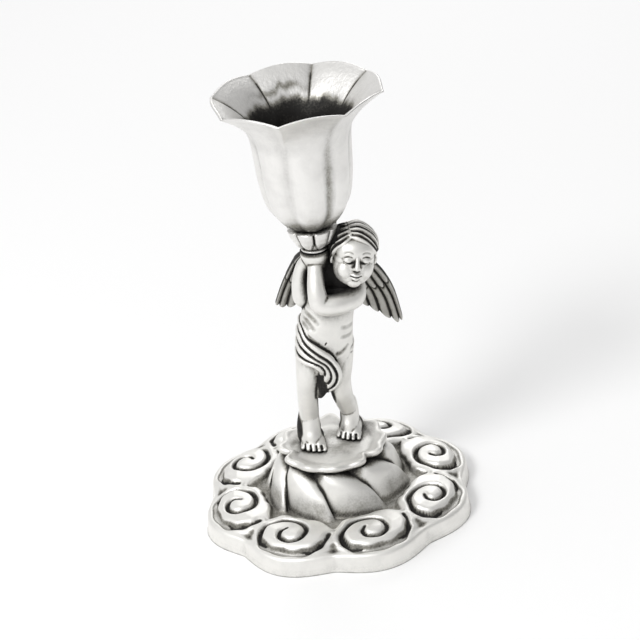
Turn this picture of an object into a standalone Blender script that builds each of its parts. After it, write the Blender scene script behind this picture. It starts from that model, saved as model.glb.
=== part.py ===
# Cherub candlestick in cast antique-silver metal: a lobed base with cloud scrolls
# and swirling leaves, a winged child figure on a scalloped foot plate, and an
# eight-petalled candle cup on a calyx that the child holds up.
# Units are metres, +Z is up, the figure faces -Y, and the origin is the middle of
# the base on the surface that it stands on.

import math

import bmesh
import bpy
from mathutils import Euler, Matrix, Vector

MM = 0.001

# Clearance between pieces that touch, and round a screw's shank
GAP = 0.3 * MM
THREAD_CLEARANCE = 0.3 * MM

# Base outline and wall
LOBE_COUNT = 8
LOBE_RADIUS = 37.8 * MM
VALLEY_RADIUS = 34.9 * MM
BASE_TURN = math.radians(-5.4)
FOOT_WIDTH = 2.4 * MM
WALL_DRAFT = 0.7 * MM
RIM_HEIGHT = 5.0 * MM
RIM_WIDTH = 2.6 * MM
CHANNEL_HEIGHT = 4.1 * MM
CAST_WALL = 1.9 * MM

# Field and leaf dome of the base
FIELD_HEIGHT = 5.6 * MM
DOME_RADIUS = 19.6 * MM
DOME_TOP_RADIUS = 10.6 * MM
DOME_HEIGHT = 16.9 * MM
DOME_BULGE = 2.8 * MM
BOSS_RADIUS = 7.2 * MM
BOSS_DEPTH = 3.4 * MM

# Cloud scrolls
SCROLL_RADIUS = 29.4 * MM
SCROLL_DRIFT = 2.0 * MM
SCROLL_TURNS = 1.7
SCROLL_STEPS = 9
SCROLL_REACH = 6.9 * MM
SCROLL_RIDGE = 1.75 * MM
SCROLL_HEIGHT = 8.0 * MM
PAD_LENGTH = 20.6 * MM
PAD_WIDTH = 13.8 * MM
PAD_HEIGHT = 6.6 * MM
PAD_SIDES = 14

# Leaves round the dome
LEAF_SWEEP = math.radians(40.0)
LEAF_START_RADIUS = 10.9 * MM
LEAF_TIP_RADIUS = 20.0 * MM
LEAF_SPREAD = math.radians(19.5)
LEAF_THICKNESS = 2.1 * MM
LEAF_TIP_LIFT = 1.2 * MM

# Foot plate and the spigot under it
PLATE_RADIUS = 14.9 * MM
PLATE_THICKNESS = 1.4 * MM
PLATE_DISH = 0.5 * MM
PLATE_LIP = 0.7 * MM
PLATE_SCALLOPS = 12
PLATE_SCALLOP_DEPTH = 0.8 * MM
PLATE_NOTCHES = 3
PLATE_NOTCH_DEPTH = 1.7 * MM
PLATE_NOTCH_TURN = math.radians(-46.0)
SPIGOT_RADIUS = 3.7 * MM
SPIGOT_LENGTH = 5.0 * MM

# Figure: heights over the foot plate's underside
HAND_TOP = 60.2 * MM
HAND_RADIUS = 3.9 * MM
BODY_VOXEL = 0.55 * MM
HEAD_VOXEL = 0.40 * MM
BODY_DETAIL = 0.051
HEAD_DETAIL = 0.066

# Cloth
FOLD_RADIUS = 0.8 * MM
FOLD_COUNT = 4
FOLD_GROOVE = 0.45 * MM
FOLD_GROOVE_LIFT = 0.5 * MM

# Head
HEAD_X = 11.3 * MM
HEAD_Y = -3.4 * MM
HEAD_Z = 57.8 * MM
HEAD_LENGTH = 16.4 * MM
HEAD_BREADTH = 13.0 * MM
HEAD_DEPTH = 14.2 * MM
HEAD_LEAN = math.radians(12.0)
HEAD_NOD = math.radians(-8.0)
HEAD_TURN = math.radians(6.0)
HAIR_LOCKS = 6
HAIR_RADIUS = 0.95 * MM

# Wings
WING_THICKNESS = 1.3 * MM
WING_RIDGE = 0.45 * MM
WING_FEATHERS = {1: 6, -1: 5}
WING_COVERTS = 0.45 * MM
WING_COVERT_ENDS = (0.27, 0.56)
WING_PAD_RADIUS = 2.6 * MM
WING_PAD_DEPTH = 1.6 * MM

# Calyx
CALYX_HEIGHT = 6.2 * MM
CALYX_FOOT_RADIUS = 3.5 * MM
CALYX_TOP_RADIUS = 6.6 * MM
CALYX_NECK_RADIUS = 3.0 * MM
CALYX_SEPALS = 8
CALYX_GROOVE = 0.9 * MM
CALYX_TURN = math.radians(-112.0)

# Candle cup
CUP_X = 1.7 * MM
CUP_Y = -2.0 * MM
CUP_HEIGHT = 36.4 * MM
CUP_FLOOR_RADIUS = 5.4 * MM
CUP_FLOOR_THICKNESS = 2.4 * MM
CUP_BELLY_RADIUS = 12.1 * MM
CUP_NECK_RADIUS = 13.0 * MM
CUP_RIM_RADIUS = 22.1 * MM
CUP_WALL = 1.2 * MM
CUP_RIM_WALL = 0.8 * MM
CUP_PETALS = 8
CUP_TURN = math.radians(-13.8)
CUP_CREASE = 1.3 * MM
CUP_SCALLOP = 1.2 * MM
CUP_BOW = 0.8 * MM
CUP_SIDES = 6

# The seams on one side of the cup run askew, so the petals there are uneven
CUP_SKEW = math.radians(-16.0)
CUP_SKEW_MIDDLE = math.radians(225.0)
CUP_SKEW_SPREAD = math.radians(50.0)

# Screws
CUP_SCREW_SHANK = 1.4 * MM
CUP_SCREW_HEAD = 2.8 * MM
CUP_SCREW_HEAD_HEIGHT = 1.4 * MM
CUP_SCREW_LENGTH = 15.0 * MM
BASE_SCREW_SHANK = 1.6 * MM
BASE_SCREW_HEAD = 3.0 * MM
BASE_SCREW_HEAD_HEIGHT = 1.9 * MM
BASE_SCREW_GRIP = 4.2 * MM
SLOT_WIDTH = 0.8 * MM
SLOT_DEPTH = 0.7 * MM
SCREW_SIDES = 16
WASHER_RADIUS = 5.4 * MM
WASHER_THICKNESS = 0.9 * MM

# Places worked out from the sizes above
SPIGOT_HOLE_RADIUS = SPIGOT_RADIUS + GAP
PLATE_Z = DOME_HEIGHT + GAP
CALYX_Z = PLATE_Z + HAND_TOP + GAP
CUP_Z = CALYX_Z + CALYX_HEIGHT + GAP
BOSS_Z = DOME_HEIGHT - CAST_WALL - BOSS_DEPTH


def clear_scene():
    for item in list(bpy.data.objects):
        bpy.data.objects.remove(item, do_unlink=True)


def metal(name, colour, roughness, metallic=1.0):
    """A cast or turned metal surface."""
    material = bpy.data.materials.new(name)
    material.use_nodes = True
    shader = material.node_tree.nodes["Principled BSDF"]
    shader.inputs["Base Color"].default_value = (*colour, 1.0)
    shader.inputs["Roughness"].default_value = roughness
    shader.inputs["Metallic"].default_value = metallic
    return material


def finish_object(name, mesh, material, smooth_angle=35.0):
    """Name the mesh's object, give it its material and shade it."""
    mesh.materials.clear()
    mesh.materials.append(material)
    mesh.shade_smooth()
    mesh.set_sharp_from_angle(angle=math.radians(smooth_angle))
    item = bpy.data.objects.new(name, mesh)
    bpy.context.scene.collection.objects.link(item)
    return item


def skin(bm, rings, closed=False, strips=False):
    """Join loops of points with faces. The ends are capped, with strips across flat loops, unless
    the loops close on themselves."""
    loops = [[bm.verts.new(point) for point in ring] for ring in rings]
    count = len(loops[0])
    pairs = list(zip(loops, loops[1:]))
    if closed:
        pairs.append((loops[-1], loops[0]))
    for low, high in pairs:
        for i in range(count):
            j = (i + 1) % count
            bm.faces.new((low[i], low[j], high[j], high[i]))
    if closed:
        return
    for loop in (loops[0][::-1], loops[-1]):
        if strips:
            for i in range(count // 2 - 1):
                bm.faces.new((loop[i], loop[i + 1], loop[count - 2 - i], loop[count - 1 - i]))
        else:
            bm.faces.new(loop)


def mesh_from_rings(name, ring_sets, closed=False, strips=False):
    """One mesh that holds a closed shell for each set of rings."""
    bm = bmesh.new()
    for rings in ring_sets:
        skin(bm, rings, closed, strips)
    bmesh.ops.recalc_face_normals(bm, faces=bm.faces)
    mesh = bpy.data.meshes.new(name)
    bm.to_mesh(mesh)
    bm.free()
    return mesh


def helper_object(mesh):
    """A shape that is only used to build another."""
    item = bpy.data.objects.new(mesh.name, mesh)
    bpy.context.scene.collection.objects.link(item)
    item.hide_render = True
    item.display_type = "WIRE"
    return item


def evaluated_mesh(item, name):
    """The object's mesh with its modifiers applied."""
    graph = bpy.context.evaluated_depsgraph_get()
    mesh = bpy.data.meshes.new_from_object(item.evaluated_get(graph))
    mesh.name = name
    return mesh


def combine(mesh, others, operation="UNION"):
    """Add the other meshes to this one, or cut them from it."""
    item = helper_object(mesh)
    helpers = [item]
    for other in others:
        cutter = helper_object(other)
        helpers.append(cutter)
        modifier = item.modifiers.new("combine", "BOOLEAN")
        modifier.operation = operation
        modifier.solver = "EXACT"
        modifier.use_self = True
        modifier.object = cutter
    bpy.context.view_layer.update()
    result = evaluated_mesh(item, mesh.name)
    for helper in helpers:
        bpy.data.objects.remove(helper, do_unlink=True)
    return result


def shell_volume(faces):
    """Signed volume inside a closed set of faces; a sealed cavity comes out below zero."""
    total = 0.0
    for face in faces:
        first = face.verts[0].co
        for a, b in zip(face.verts[1:-1], face.verts[2:]):
            total += first.dot(a.co.cross(b.co)) / 6
    return total


def fill_cavities(mesh):
    """Make pockets that overlapping shapes enclose solid."""
    bm = bmesh.new()
    bm.from_mesh(mesh)
    waiting = set(bm.faces)
    hollow = []
    while waiting:
        front = [waiting.pop()]
        shell = list(front)
        while front:
            face = front.pop()
            for edge in face.edges:
                for other in edge.link_faces:
                    if other in waiting:
                        waiting.remove(other)
                        front.append(other)
                        shell.append(other)
        if shell_volume(shell) < 0:
            hollow += shell
    bmesh.ops.delete(bm, geom=hollow, context="FACES")
    bm.to_mesh(mesh)
    bm.free()
    return mesh


def circle(radius, z, count, x=0.0, y=0.0, turn=0.0):
    """Points of a level circle."""
    steps = [turn + 2 * math.pi * i / count for i in range(count)]
    return [Vector((x + radius * math.cos(a), y + radius * math.sin(a), z)) for a in steps]


def turned(name, profile, count=24, x=0.0, y=0.0):
    """A solid turned about the vertical through (x, y), from (radius, height) points."""
    return mesh_from_rings(name, [[circle(r, z, count, x, y) for r, z in profile]])


def interpolate(points, value):
    """Height on a broken line of (position, height) points."""
    if value <= points[0][0]:
        return points[0][1]
    for (a, low), (b, high) in zip(points, points[1:]):
        if value <= b:
            share = (value - a) / (b - a)
            return low + (high - low) * share
    return points[-1][1]


def smooth_path(points, steps):
    """A smooth curve through the points, with the given steps between each two."""
    path = []
    last = len(points) - 1
    for i in range(last):
        before = points[max(i - 1, 0)]
        start = points[i]
        end = points[i + 1]
        after = points[min(i + 2, last)]
        for k in range(steps):
            t = k / steps
            path.append(0.5 * ((2 * start) + (end - before) * t
                               + (2 * before - 5 * start + 4 * end - after) * t ** 2
                               + (3 * start - before - 3 * end + after) * t ** 3))
    path.append(points[-1].copy())
    return path


# Base

def lobe_share(angle):
    """0 in a valley of the outline and 1 on the tip of a lobe."""
    wave = 0.5 - 0.5 * math.cos(LOBE_COUNT * (angle - BASE_TURN))
    return wave ** 0.7


def base_ring(radius, z, share, count):
    """A level ring of the base; share says how far it follows the lobed outline."""
    depth = (LOBE_RADIUS - VALLEY_RADIUS) * share
    ring = []
    for i in range(count):
        angle = BASE_TURN + 2 * math.pi * i / count
        r = radius - depth * (1 - lobe_share(angle))
        ring.append(Vector((r * math.cos(angle), r * math.sin(angle), z)))
    return ring


def dome_profile():
    """Radius and height of the dome's surface, from the field up to the flat top."""
    points = []
    for i in range(5):
        t = i / 4
        radius = DOME_RADIUS + (DOME_TOP_RADIUS - DOME_RADIUS) * t
        rise = FIELD_HEIGHT + (DOME_HEIGHT - FIELD_HEIGHT) * t
        points.append((radius, rise + DOME_BULGE * math.sin(math.pi * t)))
    return points


def dome_height(radius):
    return interpolate(list(reversed(dome_profile())), radius)


def base_shell():
    """The hollow casting without its scrolls and leaves."""
    count = 6 * LOBE_COUNT
    crest = LOBE_RADIUS - WALL_DRAFT
    inner_foot = LOBE_RADIUS - FOOT_WIDTH
    channel = crest - RIM_WIDTH
    outside = [
        (LOBE_RADIUS, 0.0, 1.0),
        (crest, RIM_HEIGHT * 0.88, 1.0),
        (crest - 0.3 * RIM_WIDTH, RIM_HEIGHT, 1.0),
        (channel, CHANNEL_HEIGHT, 0.9),
        (channel - RIM_WIDTH, CHANNEL_HEIGHT, 0.6),
    ]
    outside += [(r, z, 0.0) for r, z in dome_profile()]
    hole = [(SPIGOT_HOLE_RADIUS, DOME_HEIGHT, 0.0), (SPIGOT_HOLE_RADIUS, BOSS_Z, 0.0),
            (BOSS_RADIUS, BOSS_Z, 0.0), (BOSS_RADIUS, DOME_HEIGHT - CAST_WALL, 0.0)]
    inside = []
    for r, z in reversed(dome_profile()[:-1:2]):
        inside.append((r - CAST_WALL, z - CAST_WALL, 0.0))
    inside.append((channel - RIM_WIDTH, CHANNEL_HEIGHT - CAST_WALL, 0.6))
    inside.append((inner_foot - WALL_DRAFT, CHANNEL_HEIGHT - CAST_WALL, 0.9))
    inside.append((inner_foot, 0.0, 1.0))
    rings = [base_ring(r, z, share, count) for r, z, share in outside + hole + inside]
    return mesh_from_rings("base_shell", [rings], closed=True)


def ground_height(radius):
    """Height of the field or the dome at a distance from the axis."""
    edge = LOBE_RADIUS - WALL_DRAFT - 2 * RIM_WIDTH
    if radius <= DOME_RADIUS:
        return dome_height(radius)
    return interpolate([(DOME_RADIUS, FIELD_HEIGHT), (edge, CHANNEL_HEIGHT)], radius)


def scroll_frame(index):
    """Middle of a scroll with its directions along and across the outline."""
    angle = BASE_TURN + 2 * math.pi * (index + 0.5) / LOBE_COUNT
    outward = Vector((math.cos(angle), math.sin(angle), 0.0))
    along = Vector((-math.sin(angle), math.cos(angle), 0.0))
    return outward * SCROLL_RADIUS, along, outward


def scroll_ridge(index):
    """The spiral ridge of one cloud scroll, from its eye outwards."""
    centre, along, outward = scroll_frame(index)
    stretch = PAD_LENGTH / (PAD_LENGTH + PAD_WIDTH) * 2
    steps = int(SCROLL_TURNS * SCROLL_STEPS)
    line = []
    for i in range(steps + 1):
        share = i / steps
        angle = math.radians(205.0) - 2 * math.pi * SCROLL_TURNS * share
        reach = SCROLL_REACH * (0.10 + 0.90 * share)
        line.append(centre - outward * SCROLL_DRIFT * share
                    + along * (reach * stretch * math.cos(angle))
                    + outward * (reach * (2 - stretch) * math.sin(angle)))
    rings = []
    for i, point in enumerate(line):
        ahead = line[min(i + 1, steps)] - line[max(i - 1, 0)]
        side = Vector((-ahead.y, ahead.x, 0.0)).normalized()
        share = i / steps
        half = SCROLL_RIDGE * (0.85 + 0.25 * share)
        if i in (0, steps):
            half *= 0.55
        top = SCROLL_HEIGHT + 0.5 * MM * (1 - share)
        middle = 0.5 * (top + PAD_HEIGHT)
        low = PAD_HEIGHT - 1.0 * MM
        section = ((-half, low), (-0.7 * half, middle), (0.0, top), (0.7 * half, middle), (half, low))
        rings.append([Vector((*(point + side * offset).xy, z)) for offset, z in section])
    return rings


def scroll_pad(index):
    """The cloud-shaped pad that carries one spiral."""
    centre, along, outward = scroll_frame(index)
    centre = centre - outward * SCROLL_DRIFT
    rings = []
    for scale, z in ((1.0, None), (1.0, PAD_HEIGHT - 0.9 * MM), (0.86, PAD_HEIGHT)):
        ring = []
        for i in range(PAD_SIDES):
            angle = 2 * math.pi * i / PAD_SIDES
            wave = 1.0 + 0.05 * math.cos(5 * angle)
            point = (centre + along * (0.5 * PAD_LENGTH * scale * wave * math.cos(angle))
                     + outward * (0.5 * PAD_WIDTH * scale * wave * math.sin(angle)))
            point.z = ground_height(point.length) - 0.5 * CAST_WALL if z is None else z
            ring.append(point)
        rings.append(ring)
    return rings


def leaf(index):
    """One swirling leaf, from under the foot plate down to its lifted tip."""
    tip = BASE_TURN + 2 * math.pi * index / LOBE_COUNT
    rings = []
    stations = 6
    for i in range(stations + 1):
        t = i / stations
        radius = LEAF_START_RADIUS + (LEAF_TIP_RADIUS - LEAF_START_RADIUS) * t
        angle = tip - LEAF_SWEEP * (1 - t)
        taper = 1.0
        if t > 0.45:
            taper = math.sqrt(max(1 - ((t - 0.45) / 0.56) ** 2, 0.0))
        spread = LEAF_SPREAD * (0.85 + 0.15 * math.sin(math.pi * t)) * max(taper, 0.12)
        ground = dome_height(radius)
        thick = LEAF_THICKNESS * (0.45 + 0.55 * math.sin(math.pi * (0.15 + 0.7 * t)))
        lift = LEAF_TIP_LIFT * t ** 3
        ring = []
        for across, height in ((-1.0, -0.3), (-0.75, 0.6), (0.0, 1.0), (0.78, 0.7),
                               (1.0, -0.3), (0.0, -0.4)):
            a = angle + spread * across
            z = ground + thick * height + (lift if height > 0 else 0.0)
            z = min(z, DOME_HEIGHT - GAP)
            ring.append(Vector((radius * math.cos(a), radius * math.sin(a), z)))
        rings.append(ring)
    return rings


def make_base(material):
    scrolls = range(LOBE_COUNT)
    pads = mesh_from_rings("pads", [scroll_pad(i) for i in scrolls])
    ridges = mesh_from_rings("ridges", [scroll_ridge(i) for i in scrolls])
    leaves = mesh_from_rings("leaves", [leaf(i) for i in scrolls])
    mesh = fill_cavities(combine(base_shell(), [pads, ridges, leaves]))
    return finish_object("base", mesh, material)


# Figure: points are given over the middle of the foot plate's underside

def at(x, y, z):
    """A point of the figure, in millimetres over the foot plate's underside."""
    return Vector((x, y, z)) * MM


def ball(centre, half, turn=(0.0, 0.0, 0.0), segments=20):
    """Rings of an ellipsoid with the given half sizes."""
    spin = Euler(turn).to_matrix()
    rings = []
    rows = segments // 2
    for i in range(1, rows):
        latitude = -math.pi / 2 + math.pi * i / rows
        ring = []
        for k in range(segments):
            longitude = 2 * math.pi * k / segments
            point = Vector((half.x * math.cos(latitude) * math.cos(longitude),
                            half.y * math.cos(latitude) * math.sin(longitude),
                            half.z * math.sin(latitude)))
            ring.append(centre + spin @ point)
        rings.append(ring)
    return rings


def limb(points, radii, steps=4, sides=14, flatten=1.0):
    """Rings of a rounded limb along a smooth line; radii are given at its points."""
    path = smooth_path(points, steps)
    sizes = smooth_path([Vector((r, 0, 0)) for r in radii], steps)
    rings = []
    last = len(path) - 1
    side = None
    for i, point in enumerate(path):
        ahead = (path[min(i + 1, last)] - path[max(i - 1, 0)]).normalized()
        if side is None:
            side = ahead.cross(Vector((0, 1, 0)))
            if side.length < 0.1:
                side = ahead.cross(Vector((1, 0, 0)))
        side = (side - ahead * side.dot(ahead)).normalized()
        across = ahead.cross(side).normalized()
        radius = sizes[i].x
        slices = [(0.0, 1.0)]
        if i == 0:
            slices = [(-0.92, 0.38), (-0.6, 0.8), (0.0, 1.0)]
        elif i == last:
            slices = [(0.0, 1.0), (0.6, 0.8), (0.92, 0.38)]
        for offset, share in slices:
            middle = point + ahead * (offset * radius)
            ring = []
            for k in range(sides):
                angle = 2 * math.pi * k / sides
                ring.append(middle + side * (radius * share * math.cos(angle))
                            + across * (flatten * radius * share * math.sin(angle)))
            rings.append(ring)
    return rings


TORSO = (
    # height, middle x, half width, half depth, middle y
    (24.5, 0.6, 7.0, 5.0, 0.8),
    (29.5, 0.9, 7.7, 5.6, 0.6),
    (33.0, 1.4, 7.5, 5.6, 0.2),
    (37.0, 2.0, 7.3, 5.5, -0.2),
    (41.5, 3.1, 7.0, 5.0, 0.0),
    (45.5, 4.2, 6.9, 4.7, 0.3),
    (49.0, 5.4, 6.2, 4.2, 0.6),
)


def torso_ring(z):
    """Middle x, half width, half depth and middle y of the trunk at a height in millimetres."""
    values = []
    for column in range(1, 5):
        values.append(interpolate([(row[0], row[column]) for row in TORSO], z))
    return values


def trunk():
    rings = []
    heights = [24.5 + 24.5 * i / 10 for i in range(11)]
    for z in heights:
        middle, width, depth, y = torso_ring(z)
        ring = []
        for k in range(24):
            angle = 2 * math.pi * k / 24
            ring.append(at(middle + width * math.cos(angle), y + depth * math.sin(angle), z))
        rings.append(ring)
    return rings


def foot(ankle, turn, slant):
    """A broad foot with five toes; the toes end on a slanting line."""
    out = Vector((math.sin(turn), -math.cos(turn), 0.0)) * MM
    side = Vector((math.cos(turn), math.sin(turn), 0.0)) * MM
    front = ankle + out * 3.6
    shapes = [ball(ankle + at(0, 0, 3.1), at(3.3, 3.2, 2.6)),
              limb([ankle + at(0, 0, 5.4), ankle + out * 1.4 + at(0, 0, 4.2),
                    front + at(0, 0, 2.7)], [2.6 * MM, 2.6 * MM, 2.0 * MM])]
    for lane in (-1, 1):
        shapes.append(limb([ankle + side * lane * 1.1 + at(0, 0, 2.6),
                            front + side * lane * 1.8 + out * (lane * 0.6 * slant) + at(0, 0, 2.1)],
                           [2.3 * MM, 1.6 * MM], steps=2))
    for toe in range(5):
        share = (toe - 2) / 2
        start = front + side * (share * 2.6) + out * (share * slant) + at(0, 0, 2.2)
        end = start + out * 2.3 + side * (share * 0.3) - at(0, 0, 0.3)
        shapes.append(limb([start, end], [0.95 * MM, 0.75 * MM], steps=2, sides=8))
    return shapes


def legs():
    """Both legs, the viewer's left one forward, with feet and toes."""
    left = [at(-2.4, 0.8, 29.0), at(-3.6, -0.4, 24.5), at(-4.5, -0.4, 20.0), at(-4.9, 0.3, 16.0),
            at(-5.2, 1.4, 11.0), at(-5.2, 2.2, 7.5), at(-5.1, 2.4, 5.0)]
    right = [at(4.3, 1.0, 29.0), at(4.2, 0.4, 24.5), at(4.0, 0.6, 20.0), at(4.2, 1.2, 16.0),
             at(4.8, 3.0, 12.0), at(5.6, 5.2, 8.0), at(5.9, 6.0, 5.0)]
    shapes = [limb(left, [MM * r for r in (4.7, 3.8, 3.1, 2.8, 2.7, 2.6, 2.6)]),
              limb(right, [MM * r for r in (4.5, 3.8, 3.1, 2.9, 2.6, 2.4, 2.5)])]
    shapes += foot(at(-5.1, 2.2, 0.0), 0.0, 1.1)
    shapes += foot(at(5.9, 6.0, 0.0), math.radians(-14.0), 0.6)
    return shapes


def arms():
    """One arm across the chest and up, the other raised beside it, hands under the calyx."""
    hands = Vector((CUP_X, CUP_Y, HAND_TOP))
    shapes = []
    shapes.append(limb([at(10.4, 0.4, 47.0), at(10.0, -3.6, 46.0), at(5.6, -6.6, 45.9),
                        at(1.6, -7.0, 46.7), at(0.8, -6.4, 50.5), at(1.2, -4.2, 55.0),
                        hands - at(0, 0.9, 3.0)],
                       [MM * r for r in (3.4, 3.1, 2.85, 2.75, 2.4, 2.1, 2.3)]))
    shapes.append(limb([at(1.6, 1.2, 48.0), at(-1.6, 1.6, 45.6), at(-3.2, 0.6, 45.6),
                        at(-3.1, 0.2, 50.0), at(-1.9, -0.4, 55.0), hands - at(1.4, -0.6, 3.0)],
                       [MM * r for r in (3.2, 2.9, 2.4, 2.3, 1.9, 2.0)]))
    palm = [circle(HAND_RADIUS * share, HAND_TOP - z * MM, 20, CUP_X, CUP_Y)
            for share, z in ((0.45, 6.6), (0.62, 5.6), (0.74, 4.0), (0.90, 2.4), (1.0, 1.4),
                             (1.0, -1.0))]
    shapes.append(palm)
    return shapes


# Folds of the cloth, from the hip at the back round to the loose end: x, y, z in millimetres
DRAPE_FOLDS = (
    ((-2.0, 5.2, 38.6), (-4.1, 2.2, 39.2), (-4.0, -2.0, 37.6), (-3.0, -4.5, 35.4), (-0.3, -6.0, 33.2),
     (2.4, -6.4, 30.9), (4.0, -6.6, 27.6), (4.1, -6.3, 24.6), (2.6, -5.7, 21.9), (0.2, -4.6, 19.6)),
    ((-2.2, 5.2, 36.2), (-4.9, 2.0, 36.6), (-4.8, -2.2, 34.8), (-3.4, -4.8, 33.4), (-0.9, -6.3, 31.8),
     (1.5, -6.7, 29.6), (2.5, -6.8, 26.8), (2.4, -6.4, 24.2), (1.1, -5.6, 22.2), (-0.3, -4.8, 20.8)),
    ((-2.4, 5.0, 33.8), (-5.3, 1.8, 34.0), (-5.4, -2.4, 32.2), (-3.9, -4.9, 31.2), (-1.8, -6.3, 30.2),
     (0.3, -6.8, 28.9), (1.0, -6.5, 26.6), (0.8, -6.0, 24.6), (0.0, -5.2, 23.0)),
    ((-2.6, 4.8, 31.6), (-5.6, 1.6, 31.6), (-5.9, -2.4, 30.2), (-4.3, -4.7, 29.4), (-2.4, -6.0, 29.0),
     (-1.0, -6.4, 28.0)),
    ((-2.2, 5.2, 37.0), (1.5, 6.2, 35.6), (5.6, 5.8, 33.4), (8.2, 3.0, 31.2), (8.2, -1.4, 29.8)),
    ((-2.4, 5.2, 34.4), (1.5, 6.4, 33.0), (5.6, 6.0, 30.8), (8.4, 3.0, 28.6)),
    ((-2.6, 5.0, 31.8), (1.5, 6.2, 30.2), (5.6, 5.8, 28.2), (8.0, 3.2, 26.2)),
)


def drape():
    """Folds of cloth that sweep over the hips and hang between the thighs."""
    shapes = []
    for fold in DRAPE_FOLDS:
        radii = [FOLD_RADIUS] * len(fold)
        radii[0] = 0.7 * FOLD_RADIUS
        radii[-1] = 0.6 * FOLD_RADIUS
        shapes.append(limb([at(*point) for point in fold], radii, steps=4, sides=8))
    shapes.append(ball(at(0.9, -2.3, 24.0), at(2.7, 2.8, 5.2)))
    return shapes


def fold_grooves():
    """Round cutters that run between neighbouring folds of the loose cloth."""
    shapes = []
    for first, second in zip(DRAPE_FOLDS[:FOLD_COUNT - 1], DRAPE_FOLDS[1:FOLD_COUNT]):
        points = []
        for a, b in list(zip(first, second))[1:]:
            middle = (at(*a) + at(*b)) / 2
            axis = torso_ring(middle.z / MM)[0] * MM
            out = Vector((middle.x - axis, middle.y, 0.0)).normalized()
            points.append(middle + out * FOLD_GROOVE_LIFT)
        shapes.append(limb(points, [FOLD_GROOVE] * len(points), steps=2, sides=6))
    return shapes


def head_matrix():
    """Place of the head: it leans to one side, nods and turns a little."""
    lean = Matrix.Rotation(HEAD_LEAN, 4, "Y")
    nod = Matrix.Rotation(HEAD_NOD, 4, "X")
    turn = Matrix.Rotation(HEAD_TURN, 4, "Z")
    return Matrix.Translation((HEAD_X, HEAD_Y, HEAD_Z)) @ lean @ turn @ nod


def in_head(x, y, z):
    """A point given as shares of half the head's breadth, depth and length."""
    point = Vector((0.5 * x * HEAD_BREADTH, 0.5 * y * HEAD_DEPTH, 0.5 * z * HEAD_LENGTH))
    return head_matrix() @ point


# Front and back course of the hair on each side of the parting, in shares of half the head's
# breadth, depth and length
HAIR_COURSES = (
    (((-0.30, -0.64, 0.82), (0.05, -0.78, 0.74), (0.42, -0.72, 0.60), (0.72, -0.52, 0.42),
      (0.92, -0.22, 0.20), (0.96, 0.05, -0.05)),
     ((-0.24, 0.55, 0.95), (0.20, 0.72, 0.90), (0.55, 0.85, 0.60), (0.75, 0.85, 0.25),
      (0.80, 0.80, -0.10), (0.72, 0.75, -0.45))),
    (((-0.36, -0.64, 0.80), (-0.62, -0.58, 0.60), (-0.82, -0.42, 0.34), (-0.94, -0.18, 0.05),
      (-0.92, 0.0, -0.30)),
     ((-0.30, 0.55, 0.92), (-0.60, 0.75, 0.65), (-0.75, 0.85, 0.30), (-0.80, 0.80, -0.08),
      (-0.70, 0.75, -0.45))),
)


def hair():
    """Locks that sweep from a parting to both sides, laid on the round of the head."""
    middle = Vector((0.0, 0.20, 0.28))
    size = Vector((0.90, 0.86, 0.70))
    shapes = []
    for front, back in HAIR_COURSES:
        last = len(front) - 1
        for k in range(HAIR_LOCKS):
            share = k / (HAIR_LOCKS - 1)
            points = []
            for a, b in zip(front, back):
                way = Vector(a).lerp(Vector(b), share) - middle
                way = Vector((way.x / size.x, way.y / size.y, way.z / size.z)).normalized()
                points.append(in_head(middle.x + way.x * size.x, middle.y + way.y * size.y,
                                      middle.z + way.z * size.z))
            radii = [0.6 * HAIR_RADIUS] + [HAIR_RADIUS] * (last - 1) + [0.5 * HAIR_RADIUS]
            shapes.append(limb(points, radii, steps=4, sides=8))
    return shapes


def head():
    """A calm child's head with side-combed hair that falls to the shoulder on one side."""
    spin = head_matrix().to_euler()
    half = Vector((HEAD_BREADTH, HEAD_DEPTH, HEAD_LENGTH)) * 0.5

    def lump(x, y, z, wide, deep, tall, segments=20):
        return ball(in_head(x, y, z), Vector((half.x * wide, half.y * deep, half.z * tall)), spin,
                    segments)

    unit = half.x
    shapes = [lump(0, 0.24, 0.26, 0.88, 0.80, 0.70, 28), lump(0, -0.14, -0.28, 0.82, 0.66, 0.66, 24),
              lump(0, -0.30, 0.22, 0.78, 0.55, 0.48, 24), lump(0, -0.44, -0.78, 0.30, 0.28, 0.21)]
    shapes.append(limb([in_head(0, -0.78, 0.10), in_head(0, -0.89, -0.24)],
                       [0.09 * unit, 0.13 * unit], steps=2, sides=8))
    shapes.append(limb([in_head(-0.21, -0.70, -0.52), in_head(0, -0.77, -0.52),
                        in_head(0.21, -0.70, -0.52)],
                       [0.07 * unit, 0.11 * unit, 0.07 * unit], steps=3, sides=8))
    for side in (-1, 1):
        shapes.append(lump(0.38 * side, -0.50, -0.36, 0.32, 0.26, 0.28))
        shapes.append(lump(0.35 * side, -0.70, -0.01, 0.20, 0.14, 0.09, 12))
        shapes.append(lump(0.88 * side, 0.04, -0.12, 0.10, 0.16, 0.19, 12))
        shapes.append(limb([in_head(0.12 * side, -0.82, 0.14), in_head(0.36 * side, -0.80, 0.20),
                            in_head(0.60 * side, -0.64, 0.14)],
                           [0.07 * unit, 0.08 * unit, 0.05 * unit], steps=3, sides=8))
    shapes += hair()
    shapes.append(limb([in_head(0, 0.2, -0.5), at(6.8, 0.4, 47.6)], [2.9 * MM, 3.2 * MM], steps=2))
    shapes.append(ball(at(4.8, 0.4, 52.2), at(3.6, 3.0, 6.2)))
    return shapes


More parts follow.
